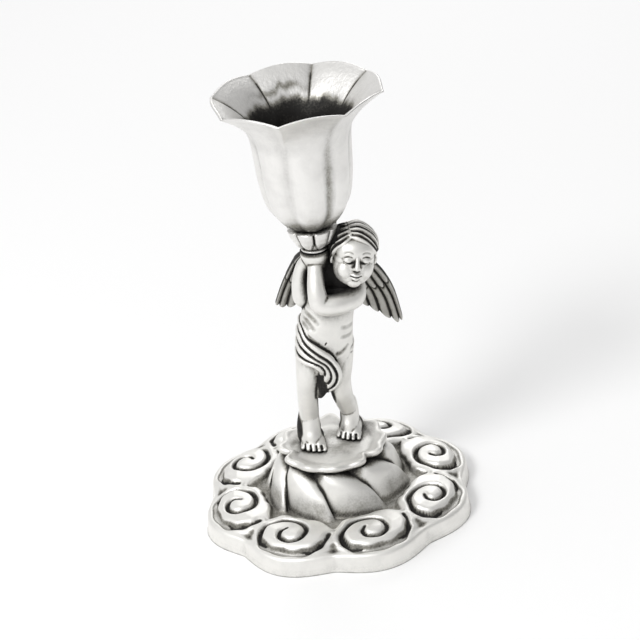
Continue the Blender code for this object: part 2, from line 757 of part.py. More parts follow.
def fuse(name, shapes, voxel, detail):
    """Melt overlapping shapes into one smooth cast body."""
    item = helper_object(mesh_from_rings(name, shapes))
    remesh = item.modifiers.new("fuse", "REMESH")
    remesh.mode = "VOXEL"
    remesh.voxel_size = voxel
    smooth = item.modifiers.new("soften", "SMOOTH")
    smooth.factor = 0.5
    smooth.iterations = 1
    decimate = item.modifiers.new("thin", "DECIMATE")
    decimate.ratio = detail
    bpy.context.view_layer.update()
    mesh = evaluated_mesh(item, name)
    bpy.data.objects.remove(item, do_unlink=True)
    return mesh


def plate_edge(angle):
    """Radius of the foot plate's wavy edge."""
    wave = 0.5 + 0.5 * math.cos(PLATE_SCALLOPS * (angle - PLATE_NOTCH_TURN))
    radius = PLATE_RADIUS - PLATE_SCALLOP_DEPTH * wave
    step = 2 * math.pi / PLATE_NOTCHES
    away = (angle - PLATE_NOTCH_TURN + step / 2) % step - step / 2
    return radius - PLATE_NOTCH_DEPTH * math.exp(-(away / math.radians(7.0)) ** 2)


def foot_plate():
    """The dished plate with its rolled, scalloped lip, and the spigot that enters the base."""
    count = 48
    top = PLATE_THICKNESS
    rows = [(0.28, 0.0), (0.86, 0.0), (0.96, 0.15 * MM), (1.0, 0.75 * MM),
            (0.985, top + PLATE_LIP - 0.25 * MM), (0.945, top + PLATE_LIP),
            (0.87, top + 0.15 * PLATE_LIP), (0.70, top - PLATE_DISH), (0.30, top)]
    rings = []
    for share, z in rows:
        ring = []
        for i in range(count):
            angle = 2 * math.pi * i / count
            blend = max(0.0, min(1.0, (share - 0.5) / 0.45))
            edge = plate_edge(angle) * blend + PLATE_RADIUS * (1 - blend)
            ring.append(Vector((edge * share * math.cos(angle), edge * share * math.sin(angle), z)))
        rings.append(ring)
    return mesh_from_rings("foot_plate", [rings])


def wing_seat(side):
    """Middle and outward direction of a wing's flat seat on the shoulder blade."""
    if side > 0:
        return at(8.6, 4.4, 46.6), Vector((0.35, 0.93, 0.10)).normalized()
    return at(0.8, 4.6, 47.6), Vector((-0.35, 0.93, 0.10)).normalized()


def seat_shapes():
    """Bosses on the shoulder blades that carry the wings."""
    shapes = []
    for side in (-1, 1):
        middle, out = wing_seat(side)
        shapes.append(limb([middle - out * (4.0 * MM), middle + out * (1.0 * MM)],
                           [WING_PAD_RADIUS * 1.15] * 2, steps=2))
    return shapes


def seat_cutter(side):
    """A block whose face trims a shoulder boss flat."""
    middle, out = wing_seat(side)
    frame = out.to_track_quat("Z", "Y").to_matrix().to_4x4()
    frame.translation = middle
    rings = []
    for z in (0.0, 8.0 * MM):
        half = 1.6 * WING_PAD_RADIUS
        corners = ((-half, -half), (half, -half), (half, half), (-half, half))
        rings.append([frame @ Vector((x, y, z)) for x, y in corners])
    return mesh_from_rings("seat_cutter", [rings])


def make_figure(material):
    body = fuse("body", [trunk()] + legs() + arms() + drape() + seat_shapes(), BODY_VOXEL,
                BODY_DETAIL)
    crown = fuse("crown", head(), HEAD_VOXEL, HEAD_DETAIL)
    spigot = turned("spigot", [(SPIGOT_RADIUS, -SPIGOT_LENGTH), (SPIGOT_RADIUS, 0.5 * MM)], 24)
    mesh = fill_cavities(combine(foot_plate(), [spigot, body, crown]))
    grooves = mesh_from_rings("fold_grooves", fold_grooves())
    cup_tap = turned("cup_tap", [(CUP_SCREW_SHANK + THREAD_CLEARANCE, HAND_TOP - tap_depth()),
                                 (CUP_SCREW_SHANK + THREAD_CLEARANCE, HAND_TOP + MM)],
                     20, CUP_X, CUP_Y)
    base_tap = turned("base_tap", [(BASE_SCREW_SHANK + THREAD_CLEARANCE, -SPIGOT_LENGTH - MM),
                                   (BASE_SCREW_SHANK + THREAD_CLEARANCE,
                                    -SPIGOT_LENGTH + BASE_SCREW_GRIP + MM)], 20)
    mesh = combine(mesh, [head_room_cutter(), seat_cutter(-1), seat_cutter(1), grooves, cup_tap,
                          base_tap], "DIFFERENCE")
    item = finish_object("cherub_figure", mesh, material, 60.0)
    item.location = (0.0, 0.0, PLATE_Z)
    return item


def head_room_cutter():
    """Trims the hands level and keeps the head clear of the calyx and the cup."""
    room = 2 * GAP
    calyx_top = HAND_TOP + GAP + CALYX_HEIGHT
    profile = [(HAND_RADIUS + room, HAND_TOP), (0.9 * CALYX_TOP_RADIUS + room, HAND_TOP + 2.5 * MM),
               (CALYX_TOP_RADIUS + room, calyx_top), (CUP_FLOOR_RADIUS + 3 * room, calyx_top + MM),
               (0.76 * CUP_BELLY_RADIUS + room, calyx_top + 0.09 * CUP_HEIGHT)]
    return turned("head_room", profile, 24, CUP_X, CUP_Y)


def tap_depth():
    """How deep the cup's screw reaches into the hands, with room at its end."""
    through = CUP_FLOOR_THICKNESS + CALYX_HEIGHT + 2 * GAP
    return CUP_SCREW_LENGTH - through + MM


# Wings

WING_EDGES = {
    # root, outer edge, inner edge and the line of the feathers' ends: x, y, z in millimetres
    1: (((12.2, 6.0, 53.2), (9.4, 5.6, 51.8)),
        ((12.2, 6.0, 53.2), (15.6, 6.6, 51.6), (18.8, 7.4, 47.6), (21.4, 8.2, 41.2),
         (23.0, 8.6, 32.0)),
        ((9.4, 5.6, 51.8), (8.8, 5.7, 48.5), (8.6, 5.8, 45.0), (9.2, 6.0, 42.6), (10.2, 6.2, 40.6)),
        ((23.0, 8.6, 32.0), (21.4, 8.4, 30.8), (17.2, 7.6, 34.2), (13.4, 6.8, 37.8),
         (10.2, 6.2, 40.6))),
    -1: (((-1.0, 6.4, 56.2), (1.4, 5.8, 55.0)),
         ((-1.0, 6.4, 56.2), (-3.6, 6.9, 54.4), (-5.9, 7.5, 51.0), (-8.2, 8.2, 46.6),
          (-10.6, 8.6, 41.0)),
         ((1.4, 5.8, 55.0), (1.6, 5.8, 52.0), (1.8, 5.9, 48.0), (1.4, 6.0, 44.0)),
         ((-10.6, 8.6, 41.0), (-9.4, 8.5, 39.6), (-6.6, 8.1, 39.2), (-2.8, 7.2, 40.6),
          (1.4, 6.0, 44.0))),
}
WING_ROWS = (0.0, 0.12, 0.25, 0.29, 0.54, 0.58, 0.78, 0.93, 1.0)


def on_path(path, share):
    """A point at a share of the way along a line of points."""
    place = share * (len(path) - 1)
    low = min(int(place), len(path) - 2)
    return path[low].lerp(path[low + 1], place - low)


def blade_point(edges, s, t):
    """A point of the blade between its four edges; s runs across it and t down it."""
    root, outer, inner, ends = edges
    across = on_path(root, s).lerp(on_path(ends, s), t)
    down = on_path(outer, t).lerp(on_path(inner, t), s)
    corners = root[0].lerp(root[-1], s).lerp(ends[0].lerp(ends[-1], s), t)
    return across + down - corners


def wing_grid(side):
    """Front and back rows of the feathered blade: two rows of coverts over long feathers."""
    edges = [smooth_path([at(*p) for p in line], 4) for line in WING_EDGES[side]]
    feathers = WING_FEATHERS[side]
    across = 3 * feathers
    rings = []
    for t in WING_ROWS:
        front = []
        back = []
        for k in range(across + 1):
            s = k / across
            quill = abs(math.sin(math.pi * feathers * s))
            point = blade_point(edges, s, t - 0.05 * (1 - quill) * t ** 6)
            point = point + Vector((0, MM * math.sin(math.pi * s), 0))
            half = 0.5 * WING_THICKNESS * (1.0 - 0.35 * t) + WING_RIDGE * quill * min(1.0, 2.5 * t)
            for end in WING_COVERT_ENDS:
                if t < end:
                    half += WING_COVERTS
            taper = 0.45 + 0.55 * math.sin(math.pi * min(max(s, 0.02), 0.98)) ** 0.5
            front.append(point - Vector((0, half * taper, 0)))
            back.append(point + Vector((0, half * taper, 0)))
        rings.append(front + back[::-1])
    return rings


def make_wing(side, name, material):
    middle, out = wing_seat(side)
    face = middle + out * GAP
    pad = limb([face + out * (0.2 * MM), face + out * WING_PAD_DEPTH], [WING_PAD_RADIUS] * 2, steps=2,
               sides=12)
    blade = mesh_from_rings(name, [wing_grid(side)], strips=True)
    mesh = combine(blade, [mesh_from_rings("pad", [pad])])
    trim = seat_cutter(side)
    trim.transform(Matrix.Translation(-out * (8.0 * MM) + out * GAP))
    mesh = combine(mesh, [trim], "DIFFERENCE")
    item = finish_object(name, mesh, material, 40.0)
    item.location = (0.0, 0.0, PLATE_Z)
    return item


# Calyx and candle cup

def sepal_radius(height, angle):
    """Radius of the calyx at a share of its height: a collar, then eight hanging tongues."""
    step = 2 * math.pi / CALYX_SEPALS
    away = abs((angle - CALYX_TURN + step / 2) % step - step / 2) / (step / 2)
    collar = [(0.0, CALYX_FOOT_RADIUS), (0.06, CALYX_FOOT_RADIUS), (0.12, CALYX_NECK_RADIUS)]
    widen = CALYX_TOP_RADIUS - CALYX_NECK_RADIUS
    inner = [(0.4, CALYX_NECK_RADIUS + 0.15 * widen), (0.7, CALYX_NECK_RADIUS + 0.45 * widen),
             (1.0, CALYX_TOP_RADIUS - CALYX_GROOVE)]
    outer = [(0.25, CALYX_NECK_RADIUS + 0.42 * widen), (0.5, CALYX_NECK_RADIUS + 0.70 * widen),
             (0.75, CALYX_NECK_RADIUS + 0.89 * widen), (1.0, CALYX_TOP_RADIUS)]
    core = interpolate(collar + inner, height)
    full = interpolate(collar + outer, height)
    tongue_end = 0.10 + 0.36 * away ** 2.2
    inside = max(0.0, min(1.0, (height - tongue_end) / 0.16)) ** 0.5
    rounded = math.sqrt(max(0.0, 1 - (away / 0.94) ** 4))
    return core + (full - core) * inside * rounded


def make_calyx(material):
    """The calyx with a hole for the screw."""
    count = 6 * CALYX_SEPALS
    rings = []
    for height in (0.0, 0.06, 0.12, 0.2, 0.3, 0.5, 1.0):
        ring = []
        for i in range(count):
            angle = CALYX_TURN + 2 * math.pi * i / count
            radius = sepal_radius(height, angle)
            ring.append(Vector((radius * math.cos(angle), radius * math.sin(angle),
                                CALYX_HEIGHT * height)))
        rings.append(ring)
    hole = CUP_SCREW_SHANK + THREAD_CLEARANCE
    rings.append(circle(hole, CALYX_HEIGHT, count, turn=CALYX_TURN))
    rings.append(circle(hole, 0.0, count, turn=CALYX_TURN))
    mesh = mesh_from_rings("calyx", [rings], closed=True)
    item = finish_object("calyx", mesh, material)
    item.location = (CUP_X, CUP_Y, CALYX_Z)
    return item


def petal_share(angle):
    """0 on a seam between two petals and 1 on the middle of a petal."""
    step = 2 * math.pi / CUP_PETALS
    away = abs((angle - CUP_TURN + step / 2) % step - step / 2)
    return math.sin(math.pi * away / step)


def cup_profile():
    """Radius, height, flare and crease of the cup's outside, from the floor to the rim."""
    return (
        (0.80 * CUP_FLOOR_RADIUS, 0.0, 0.0, 0.2),
        (CUP_FLOOR_RADIUS + 0.6 * MM, 0.02 * CUP_HEIGHT, 0.0, 0.5),
        (0.72 * CUP_BELLY_RADIUS, 0.09 * CUP_HEIGHT, 0.0, 1.0),
        (0.90 * CUP_BELLY_RADIUS, 0.19 * CUP_HEIGHT, 0.0, 1.0),
        (CUP_BELLY_RADIUS, 0.36 * CUP_HEIGHT, 0.0, 1.0),
        (CUP_BELLY_RADIUS + 0.5 * (CUP_NECK_RADIUS - CUP_BELLY_RADIUS), 0.54 * CUP_HEIGHT, 0.1, 0.9),
        (CUP_NECK_RADIUS, 0.69 * CUP_HEIGHT, 0.3, 0.7),
        (CUP_NECK_RADIUS + 0.14 * (CUP_RIM_RADIUS - CUP_NECK_RADIUS), 0.79 * CUP_HEIGHT, 0.55, 0.5),
        (CUP_NECK_RADIUS + 0.38 * (CUP_RIM_RADIUS - CUP_NECK_RADIUS), 0.875 * CUP_HEIGHT, 0.8, 0.3),
        (CUP_NECK_RADIUS + 0.70 * (CUP_RIM_RADIUS - CUP_NECK_RADIUS), 0.95 * CUP_HEIGHT, 0.95, 0.1),
        (CUP_RIM_RADIUS, CUP_HEIGHT, 1.0, 0.0),
    )


def cup_ring(radius, z, flare, crease, inset=0.0):
    """One ring: round petals with skewed seams below, a bowed eight-cornered rim above."""
    count = CUP_SIDES * CUP_PETALS
    step = 2 * math.pi / CUP_PETALS
    ring = []
    for i in range(count):
        angle = CUP_TURN + 2 * math.pi * i / count
        bulge = petal_share(angle)
        body = radius - CUP_CREASE * crease * (1 - bulge) ** 1.3
        middle = step / 2 - abs((angle - CUP_TURN + step / 2) % step - step / 2)
        corner = radius * math.cos(step / 2) / math.cos(middle) + CUP_BOW * bulge ** 1.3
        r = body + (corner - body) * flare - inset
        away = (angle - CUP_SKEW_MIDDLE + math.pi) % (2 * math.pi) - math.pi
        skew = CUP_SKEW * (1 - flare) * math.exp(-(away / CUP_SKEW_SPREAD) ** 2)
        lift = CUP_SCALLOP * (bulge ** 0.9 - 1) * flare ** 2
        ring.append(Vector((r * math.cos(angle + skew), r * math.sin(angle + skew), z + lift)))
    return ring


def make_cup(material):
    count = CUP_SIDES * CUP_PETALS
    head_room = CUP_SCREW_HEAD + THREAD_CLEARANCE
    shank_hole = CUP_SCREW_SHANK + THREAD_CLEARANCE
    sink = CUP_FLOOR_THICKNESS - CUP_SCREW_HEAD_HEIGHT - GAP
    rings = [circle(shank_hole, 0.0, count, turn=CUP_TURN)]
    rings += [cup_ring(r, z, flare, crease) for r, z, flare, crease in cup_profile()]
    outside = cup_profile()
    for r, z, flare, crease in outside[:6:-1] + outside[6:2:-2]:
        share = z / CUP_HEIGHT
        wall = CUP_WALL + (CUP_RIM_WALL - CUP_WALL) * share
        lift = 0.3 * MM * (1 - share) + 0.25 * MM * share
        rings.append(cup_ring(r, z + lift, flare, 0.6 * crease, wall))
    rings.append(cup_ring(0.70 * CUP_BELLY_RADIUS, CUP_FLOOR_THICKNESS + 1.6 * MM, 0.0, 0.2, CUP_WALL))
    rings.append(circle(CUP_FLOOR_RADIUS, CUP_FLOOR_THICKNESS, count, turn=CUP_TURN))
    rings.append(circle(head_room, CUP_FLOOR_THICKNESS, count, turn=CUP_TURN))
    rings.append(circle(shank_hole, sink, count, turn=CUP_TURN))
    mesh = mesh_from_rings("candle_cup", [rings], closed=True)
    item = finish_object("candle_cup", mesh, material)
    item.location = (CUP_X, CUP_Y, CUP_Z)
    return item


# Screws

def slot_cutter(z, reach):
    """A bar that cuts a screwdriver slot down to height z."""
    half = 0.5 * SLOT_WIDTH
    rings = []
    for level in (z, z + 3 * MM):
        rings.append([Vector((x, y, level)) for x, y in ((-reach, -half), (reach, -half),
                                                         (reach, half), (-reach, half))])
    return mesh_from_rings("slot", [rings])


def make_cup_screw(material):
    """Countersunk screw down through the cup and the calyx into the hands."""
    profile = [(0.6 * CUP_SCREW_SHANK, -CUP_SCREW_LENGTH),
               (CUP_SCREW_SHANK, -CUP_SCREW_LENGTH + 0.6 * CUP_SCREW_SHANK),
               (CUP_SCREW_SHANK, -CUP_SCREW_HEAD_HEIGHT), (CUP_SCREW_HEAD, -0.1 * MM),
               (CUP_SCREW_HEAD, 0.0)]
    mesh = combine(turned("cup_screw", profile, SCREW_SIDES),
                   [slot_cutter(-SLOT_DEPTH, 2 * CUP_SCREW_HEAD)], "DIFFERENCE")
    item = finish_object("cup_screw", mesh, material)
    item.location = (CUP_X, CUP_Y, CUP_Z + CUP_FLOOR_THICKNESS)
    return item


def make_base_screw(material):
    """Round-headed screw up into the figure's spigot, from the hollow of the base."""
    profile = [(0.6 * BASE_SCREW_HEAD, -BASE_SCREW_HEAD_HEIGHT),
               (BASE_SCREW_HEAD, -0.45 * BASE_SCREW_HEAD_HEIGHT), (BASE_SCREW_HEAD, 0.0),
               (BASE_SCREW_SHANK, 0.0),
               (BASE_SCREW_SHANK, washer_stack() + BASE_SCREW_GRIP - 0.5 * BASE_SCREW_SHANK),
               (0.6 * BASE_SCREW_SHANK, washer_stack() + BASE_SCREW_GRIP)]
    cutter = slot_cutter(-BASE_SCREW_HEAD_HEIGHT - 3 * MM + SLOT_DEPTH, 2 * BASE_SCREW_HEAD)
    mesh = combine(turned("base_screw", profile, SCREW_SIDES), [cutter], "DIFFERENCE")
    item = finish_object("base_screw", mesh, material)
    item.location = (0.0, 0.0, BOSS_Z - 2 * GAP - WASHER_THICKNESS)
    return item


def washer_stack():
    """From the underside of the screw's head to the end of the spigot."""
    spigot_end = PLATE_Z - SPIGOT_LENGTH
    return spigot_end - (BOSS_Z - 2 * GAP - WASHER_THICKNESS)


def make_washer(material):
    hole = BASE_SCREW_SHANK + THREAD_CLEARANCE
    rings = [circle(r, z, SCREW_SIDES) for r, z in
             ((hole, 0.0), (WASHER_RADIUS, 0.0), (WASHER_RADIUS, WASHER_THICKNESS),
              (hole, WASHER_THICKNESS))]
    mesh = mesh_from_rings("base_washer", [rings], closed=True)
    item = finish_object("base_washer", mesh, material)
    item.location = (0.0, 0.0, BOSS_Z - GAP - WASHER_THICKNESS)
    return item


def main():
    clear_scene()
    silver = metal("antique_silver", (0.72, 0.71, 0.68), 0.34)
    dark_silver = metal("antique_silver_wings", (0.55, 0.54, 0.52), 0.38)
    bright = metal("polished_silver_cup", (0.80, 0.79, 0.77), 0.28)
    steel = metal("zinc_plated_steel", (0.62, 0.63, 0.65), 0.30)
    pieces = [make_base(silver), make_figure(silver),
              make_wing(1, "left_wing", dark_silver), make_wing(-1, "right_wing", dark_silver),
              make_calyx(bright), make_cup(bright), make_cup_screw(steel),
              make_base_screw(steel), make_washer(steel)]
    stand = bpy.data.objects.new("candlestick", None)
    bpy.context.scene.collection.objects.link(stand)
    for piece in pieces:
        piece.parent = stand


main()
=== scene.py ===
# Looks of the cherub candlestick. Lengths are millimetres until a mesh is made, +Z is up,
# and the figure faces -Y.

import math

import bpy
import numpy as np
from mathutils import Matrix, Vector
from mathutils.bvhtree import BVHTree


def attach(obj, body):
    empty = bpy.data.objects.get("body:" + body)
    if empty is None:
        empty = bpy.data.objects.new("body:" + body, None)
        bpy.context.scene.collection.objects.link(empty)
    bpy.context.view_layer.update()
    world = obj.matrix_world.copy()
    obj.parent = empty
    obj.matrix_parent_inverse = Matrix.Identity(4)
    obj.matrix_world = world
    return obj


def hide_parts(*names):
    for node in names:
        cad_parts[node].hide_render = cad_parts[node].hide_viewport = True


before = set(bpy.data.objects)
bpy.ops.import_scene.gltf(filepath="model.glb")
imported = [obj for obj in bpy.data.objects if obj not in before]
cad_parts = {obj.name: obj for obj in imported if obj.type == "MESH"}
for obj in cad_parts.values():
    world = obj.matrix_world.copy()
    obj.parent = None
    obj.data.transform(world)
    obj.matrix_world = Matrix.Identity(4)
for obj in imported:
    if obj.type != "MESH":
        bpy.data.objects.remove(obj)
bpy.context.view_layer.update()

MM = 0.001
TAU = 2 * math.pi

# Camera
VIEW_ELEVATION = math.radians(26.88)
VIEW_DISTANCE = 500.0
VIEW_ROLL = math.radians(7.09)
VIEW_TARGET = np.array([0.78, 0.0, 55.9])
FOCAL_PIXELS = 1905.0
PICTURE_PIXELS = 640.0
SENSOR = 36.0

# Base
LOBES = 8
LOBE_RADIUS = 37.8
VALLEY_RADIUS = 34.9
BASE_TURN = math.radians(-5.4)
BASE_COLUMNS = 560
DOME_HEIGHT = 16.9
SOCKET_RADIUS = 4.0
BOSS_RADIUS = 7.2
BOSS_Z = 11.6
FOOT_WIDTH = 2.4
CAST_WALL = 1.9
LEAVES = 8

# Figure
PLATE_Z = 17.2
PLATE_RADIUS = 14.9
PLATE_TOP = 1.4
PLATE_LIP = 0.55
PLATE_DISH = 0.5
SPIGOT_RADIUS = 3.7
SPIGOT_LENGTH = 5.0
NOTCH_TURN = math.radians(-46.0)
HAND_TOP = 60.2
HAND_RADIUS = 3.9
BODY_VOXEL = 0.26
HEAD_VOXEL = 0.17
HEAD_AT = np.array([11.3, -3.4, 57.8])
HEAD_HALF = np.array([6.5, 7.1, 8.2])
HEAD_LEAN = math.radians(12.0)
HEAD_NOD = math.radians(-8.0)
HEAD_TURN = math.radians(6.0)

# Calyx and cup
CUP_X = 1.7
CUP_Y = -2.0
CALYX_Z = 77.7
CALYX_HEIGHT = 6.2
CALYX_RIBS = 8
CALYX_TURN = math.radians(-112.0)
CUP_Z = 84.2
CUP_HEIGHT = 36.4
CUP_TURN = math.radians(-13.8)
CUP_PETALS = 8
CUP_BELLY = 12.1
CUP_NECK = 13.0
CUP_RIM = 22.1
CUP_FLOOR = 5.4
CUP_FLOOR_TOP = 2.4
SCREW_ROOM = 3.1
SHANK_HOLE = 1.7


# Small tools

SPLINE_STEPS = 5
GROOVE_SHARPNESS = 1.5
BALL_SIDES = 28
# A limb's round end: way out and radius, as shares of the radius at the end
ROUND_END = ((0.45, 0.89), (0.8, 0.6), (0.95, 0.31))


def ease(value, low, high):
    t = np.clip((value - low) / (high - low), 0.0, 1.0)
    return t * t * (3 - 2 * t)


def curve_through(points, steps):
    """Points of a smooth curve through the given ones."""
    p = np.asarray(points, float)
    if p.ndim == 1:
        p = p[:, None]
    padded = np.concatenate([p[:1], p, p[-1:]])
    t = np.arange(steps)[:, None] / steps
    parts = []
    for i in range(len(p) - 1):
        a, b, c, d = padded[i:i + 4]
        parts.append(0.5 * (2 * b + (c - a) * t + (2 * a - 5 * b + 4 * c - d) * t ** 2
                            + (3 * b - a - 3 * c + d) * t ** 3))
    parts.append(p[-1:])
    return np.concatenate(parts)


def ring_faces(rows, count, closed=False):
    """Quads between loops of points, one loop after another."""
    i = np.arange(count)
    j = (i + 1) % count
    faces = []
    for row in range(rows if closed else rows - 1):
        a = row * count
        b = (row + 1) % rows * count
        faces.append(np.stack([a + i, a + j, b + j, b + i], 1))
    return np.concatenate(faces)


def turns(count):
    """Evenly spaced angles."""
    return TAU * np.arange(count) / count


def loop(angle, radius, z, x=0.0, y=0.0):
    """Points of a level loop."""
    return np.stack([x + radius * np.cos(angle), y + radius * np.sin(angle),
                     np.broadcast_to(z, angle.shape)], 1)


def off_middle(angle, step):
    """0 in the middle of each sector and 1 at its edges."""
    return np.abs((angle + step / 2) % step - step / 2) / (step / 2)


def distance_to_line(points, line):
    """Distance of each point to a broken line, and how far along it is, in points."""
    best = np.full(len(points), 1e9)
    where = np.zeros(len(points))
    for i in range(len(line) - 1):
        a = line[i]
        ab = line[i + 1] - a
        t = np.clip((points - a) @ ab / max(ab @ ab, 1e-12), 0.0, 1.0)
        d = np.linalg.norm(points - a - t[:, None] * ab, axis=1)
        near = d < best
        best[near] = d[near]
        where[near] = i + t[near]
    return best, where


def add_object(name, data):
    item = bpy.data.objects.new(name, data)
    bpy.context.scene.collection.objects.link(item)
    return item


class Form:
    """A surface that can be smoothed, carved and darkened before it becomes a piece."""

    def __init__(self, verts, faces):
        self.v = np.asarray(verts, float)
        self.f = np.asarray(faces)
        self.dark = np.zeros(len(self.v))
        self.hold = np.ones(len(self.v))
        self.gather = np.ones(len(self.v))
        edges = np.concatenate([self.f[:, [k, (k + 1) % 4]] for k in range(4)])
        edges = np.unique(np.sort(edges, 1), axis=0)
        self.edges = edges[edges[:, 0] != edges[:, 1]]
        count = np.bincount(self.edges.ravel(), minlength=len(self.v))
        self.count = np.maximum(count, 1)[:, None]
        a, b, c, d = (self.v[self.f[:, k]] for k in range(4))
        volume = (np.einsum("ij,ij->i", a, np.cross(b, c))
                  + np.einsum("ij,ij->i", a, np.cross(c, d)))
        if volume.sum() < 0:
            self.f = self.f[:, ::-1]
        self.tree = None

    def mean(self, values):
        """Mean of each point's neighbours."""
        a, b = self.edges.T
        out = np.zeros_like(values)
        for k in range(values.shape[1]):
            out[:, k] = (np.bincount(a, values[b, k], len(self.v))
                         + np.bincount(b, values[a, k], len(self.v)))
        return out / self.count

    def normals(self):
        p = self.v[self.f]
        face = np.cross(p[:, 2] - p[:, 0], p[:, 3] - p[:, 1])
        out = np.zeros_like(self.v)
        for corner in range(4):
            for k in range(3):
                out[:, k] += np.bincount(self.f[:, corner], face[:, k], len(self.v))
        return out / np.maximum(np.linalg.norm(out, axis=1), 1e-12)[:, None]

    def soften(self, rounds, share=0.5):
        for _ in range(rounds):
            self.v += share * self.hold[:, None] * (self.mean(self.v) - self.v)

    def on_surface(self, line, inner=None):
        """The line laid on the uncarved surface, straight away from the inner points if given."""
        if self.tree is None:
            self.tree = BVHTree.FromPolygons(self.v.tolist(), self.f.tolist())
        laid = []
        for i, point in enumerate(line):
            hit = None
            if inner is not None:
                way = Vector(point - inner[i]).normalized()
                hit = self.tree.ray_cast(Vector(point) + 3 * way, -way, 6.0)[0]
            laid.append(hit or self.tree.find_nearest(Vector(point))[0])
        return np.array(laid)

    def carve(self, points, width, depth, dark, fade, inner=None):
        """Cut a groove along a line; it fades out over a share of its length at each end."""
        line = curve_through(points, SPLINE_STEPS)
        line = self.on_surface(line, None if inner is None else inner(line))
        low = line.min(0) - width
        high = line.max(0) + width
        near = np.where(((self.v > low) & (self.v < high)).all(1))[0]
        if not len(near):
            return
        d, along = distance_to_line(self.v[near], line)
        share = along / (len(line) - 1)
        ends = np.clip(np.minimum(share, 1 - share) / fade, 0, 1) ** 0.6
        cut = np.clip(1 - (d / width) ** 2, 0, 1) ** GROOVE_SHARPNESS * ends
        self.v[near] -= self.normals()[near] * (depth * cut * self.hold[near])[:, None]
        self.dark[near] = np.maximum(self.dark[near], dark * np.clip(cut * 1.3 - 0.2, 0, 1))

    def shade(self, middle, half, amount):
        """Darkening round one place: settled patina and painted shade."""
        away = (((self.v - middle) / half) ** 2).sum(1)
        self.dark = np.maximum(self.dark, amount * ease(1 - away, 0, 1))

    def recess(self, rounds, reach):
        """How deep each point lies under its surroundings, from 0 to 1 at the given depth."""
        flat = self.v.copy()
        for _ in range(rounds):
            flat = 0.3 * flat + 0.7 * self.mean(flat)
        depth = np.einsum("ij,ij->i", flat - self.v, self.normals())
        return depth / reach

    def piece(self, name, material, slot, *nodes, scales=((6, 0.05), (40, 0.30))):
        """Make the surface a piece that stands for CAD nodes.

        Scales pair the rounds of smoothing with the depth in mm that counts as a full recess.
        """
        hollow = np.zeros(len(self.v))
        high = np.zeros(len(self.v))
        for rounds, reach in scales:
            depth = self.recess(rounds, reach)
            hollow = np.maximum(hollow, np.clip(depth, 0, 1))
            high = np.maximum(high, np.clip(-depth, 0, 1))
        mesh = bpy.data.meshes.new(name)
        mesh.from_pydata((self.v * MM).tolist(), [], self.f.tolist())
        # The first attribute holds the patina in the hollows together with the painted shade kept
        # in dark
        for label, values in (("patina_and_shade", np.maximum(self.dark, hollow * self.gather)),
                              ("worn", high - self.dark)):
            layer = mesh.attributes.new(label, "FLOAT", "POINT")
            layer.data.foreach_set("value", np.clip(values, 0, 1))
        mesh.materials.append(material)
        mesh.shade_smooth()
        item = add_object(name, mesh)
        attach(item, "root")
        if nodes:
            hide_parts(*nodes)


def form_of(rings, closed=True):
    """The surface through loops of points, one loop after another."""
    return Form(np.concatenate(rings), ring_faces(len(rings), len(rings[0]), closed))


class Kit:
    """Overlapping shapes that melt into one form."""

    def __init__(self):
        self.verts = []
        self.faces = []

    def add(self, rings):
        start = len(self.verts)
        count = len(rings[0])
        self.verts += [list(p) for row in rings for p in row]
        quads = ring_faces(len(rings), count) + start
        self.faces += quads.tolist()
        self.faces.append(list(range(start + count - 1, start - 1, -1)))
        last = start + (len(rings) - 1) * count
        self.faces.append(list(range(last, last + count)))

    def ball(self, centre, half, turn=None, sides=BALL_SIDES):
        spin = np.eye(3) if turn is None else turn
        rings = []
        for i in range(1, sides // 2):
            latitude = -math.pi / 2 + TAU / sides * i
            unit = loop(turns(sides), math.cos(latitude), math.sin(latitude))
            rings.append(np.asarray(centre) + unit * np.asarray(half) @ spin.T)
        self.add(rings)

    def limb(self, points, radii, steps=SPLINE_STEPS, sides=18):
        path = curve_through(points, steps)
        sizes = curve_through(radii, steps)[:, 0]
        a = turns(sides)[:, None]
        rings = []
        last = len(path) - 1
        side = None
        for i, point in enumerate(path):
            ahead = path[min(i + 1, last)] - path[max(i - 1, 0)]
            ahead = ahead / np.linalg.norm(ahead)
            if side is None:
                side = np.cross(ahead, (0, 1, 0))
                if np.linalg.norm(side) < 0.1:
                    side = np.cross(ahead, (1, 0, 0))
            side = side - ahead * (side @ ahead)
            side = side / np.linalg.norm(side)
            across = np.cross(ahead, side)
            slices = [(0.0, 1.0)]
            if i == 0:
                slices = [(-offset, share) for offset, share in ROUND_END[::-1]] + slices
            elif i == last:
                slices += ROUND_END
            for offset, share in slices:
                rings.append(point + ahead * offset * sizes[i]
                             + sizes[i] * share * (side * np.cos(a) + across * np.sin(a)))
        self.add(rings)

    def fuse(self, voxel, rounds):
        mesh = bpy.data.meshes.new("kit")
        mesh.from_pydata(self.verts, [], self.faces)
        item = add_object("kit", mesh)
        remesh = item.modifiers.new("fuse", "REMESH")
        remesh.mode = "VOXEL"
        remesh.voxel_size = voxel
        remesh.adaptivity = 0.0
        graph = bpy.context.evaluated_depsgraph_get()
        result = item.evaluated_get(graph).to_mesh()
        verts = np.zeros(len(result.vertices) * 3, np.float32)
        result.vertices.foreach_get("co", verts)
        corners = np.zeros(len(result.loops), np.int32)
        result.loops.foreach_get("vertex_index", corners)
        form = Form(verts.reshape(-1, 3), corners.reshape(-1, 4))
        bpy.data.objects.remove(item, do_unlink=True)
        form.soften(rounds)
        return form


# Materials

# Waves of the noise in each metre
CLOUD_WAVES = 260.0
GRIT_WAVES = 1900.0
GRAIN_WAVES = 1400.0
BRUSH_WAVES = 1100.0
ZINC_WAVES = 700.0
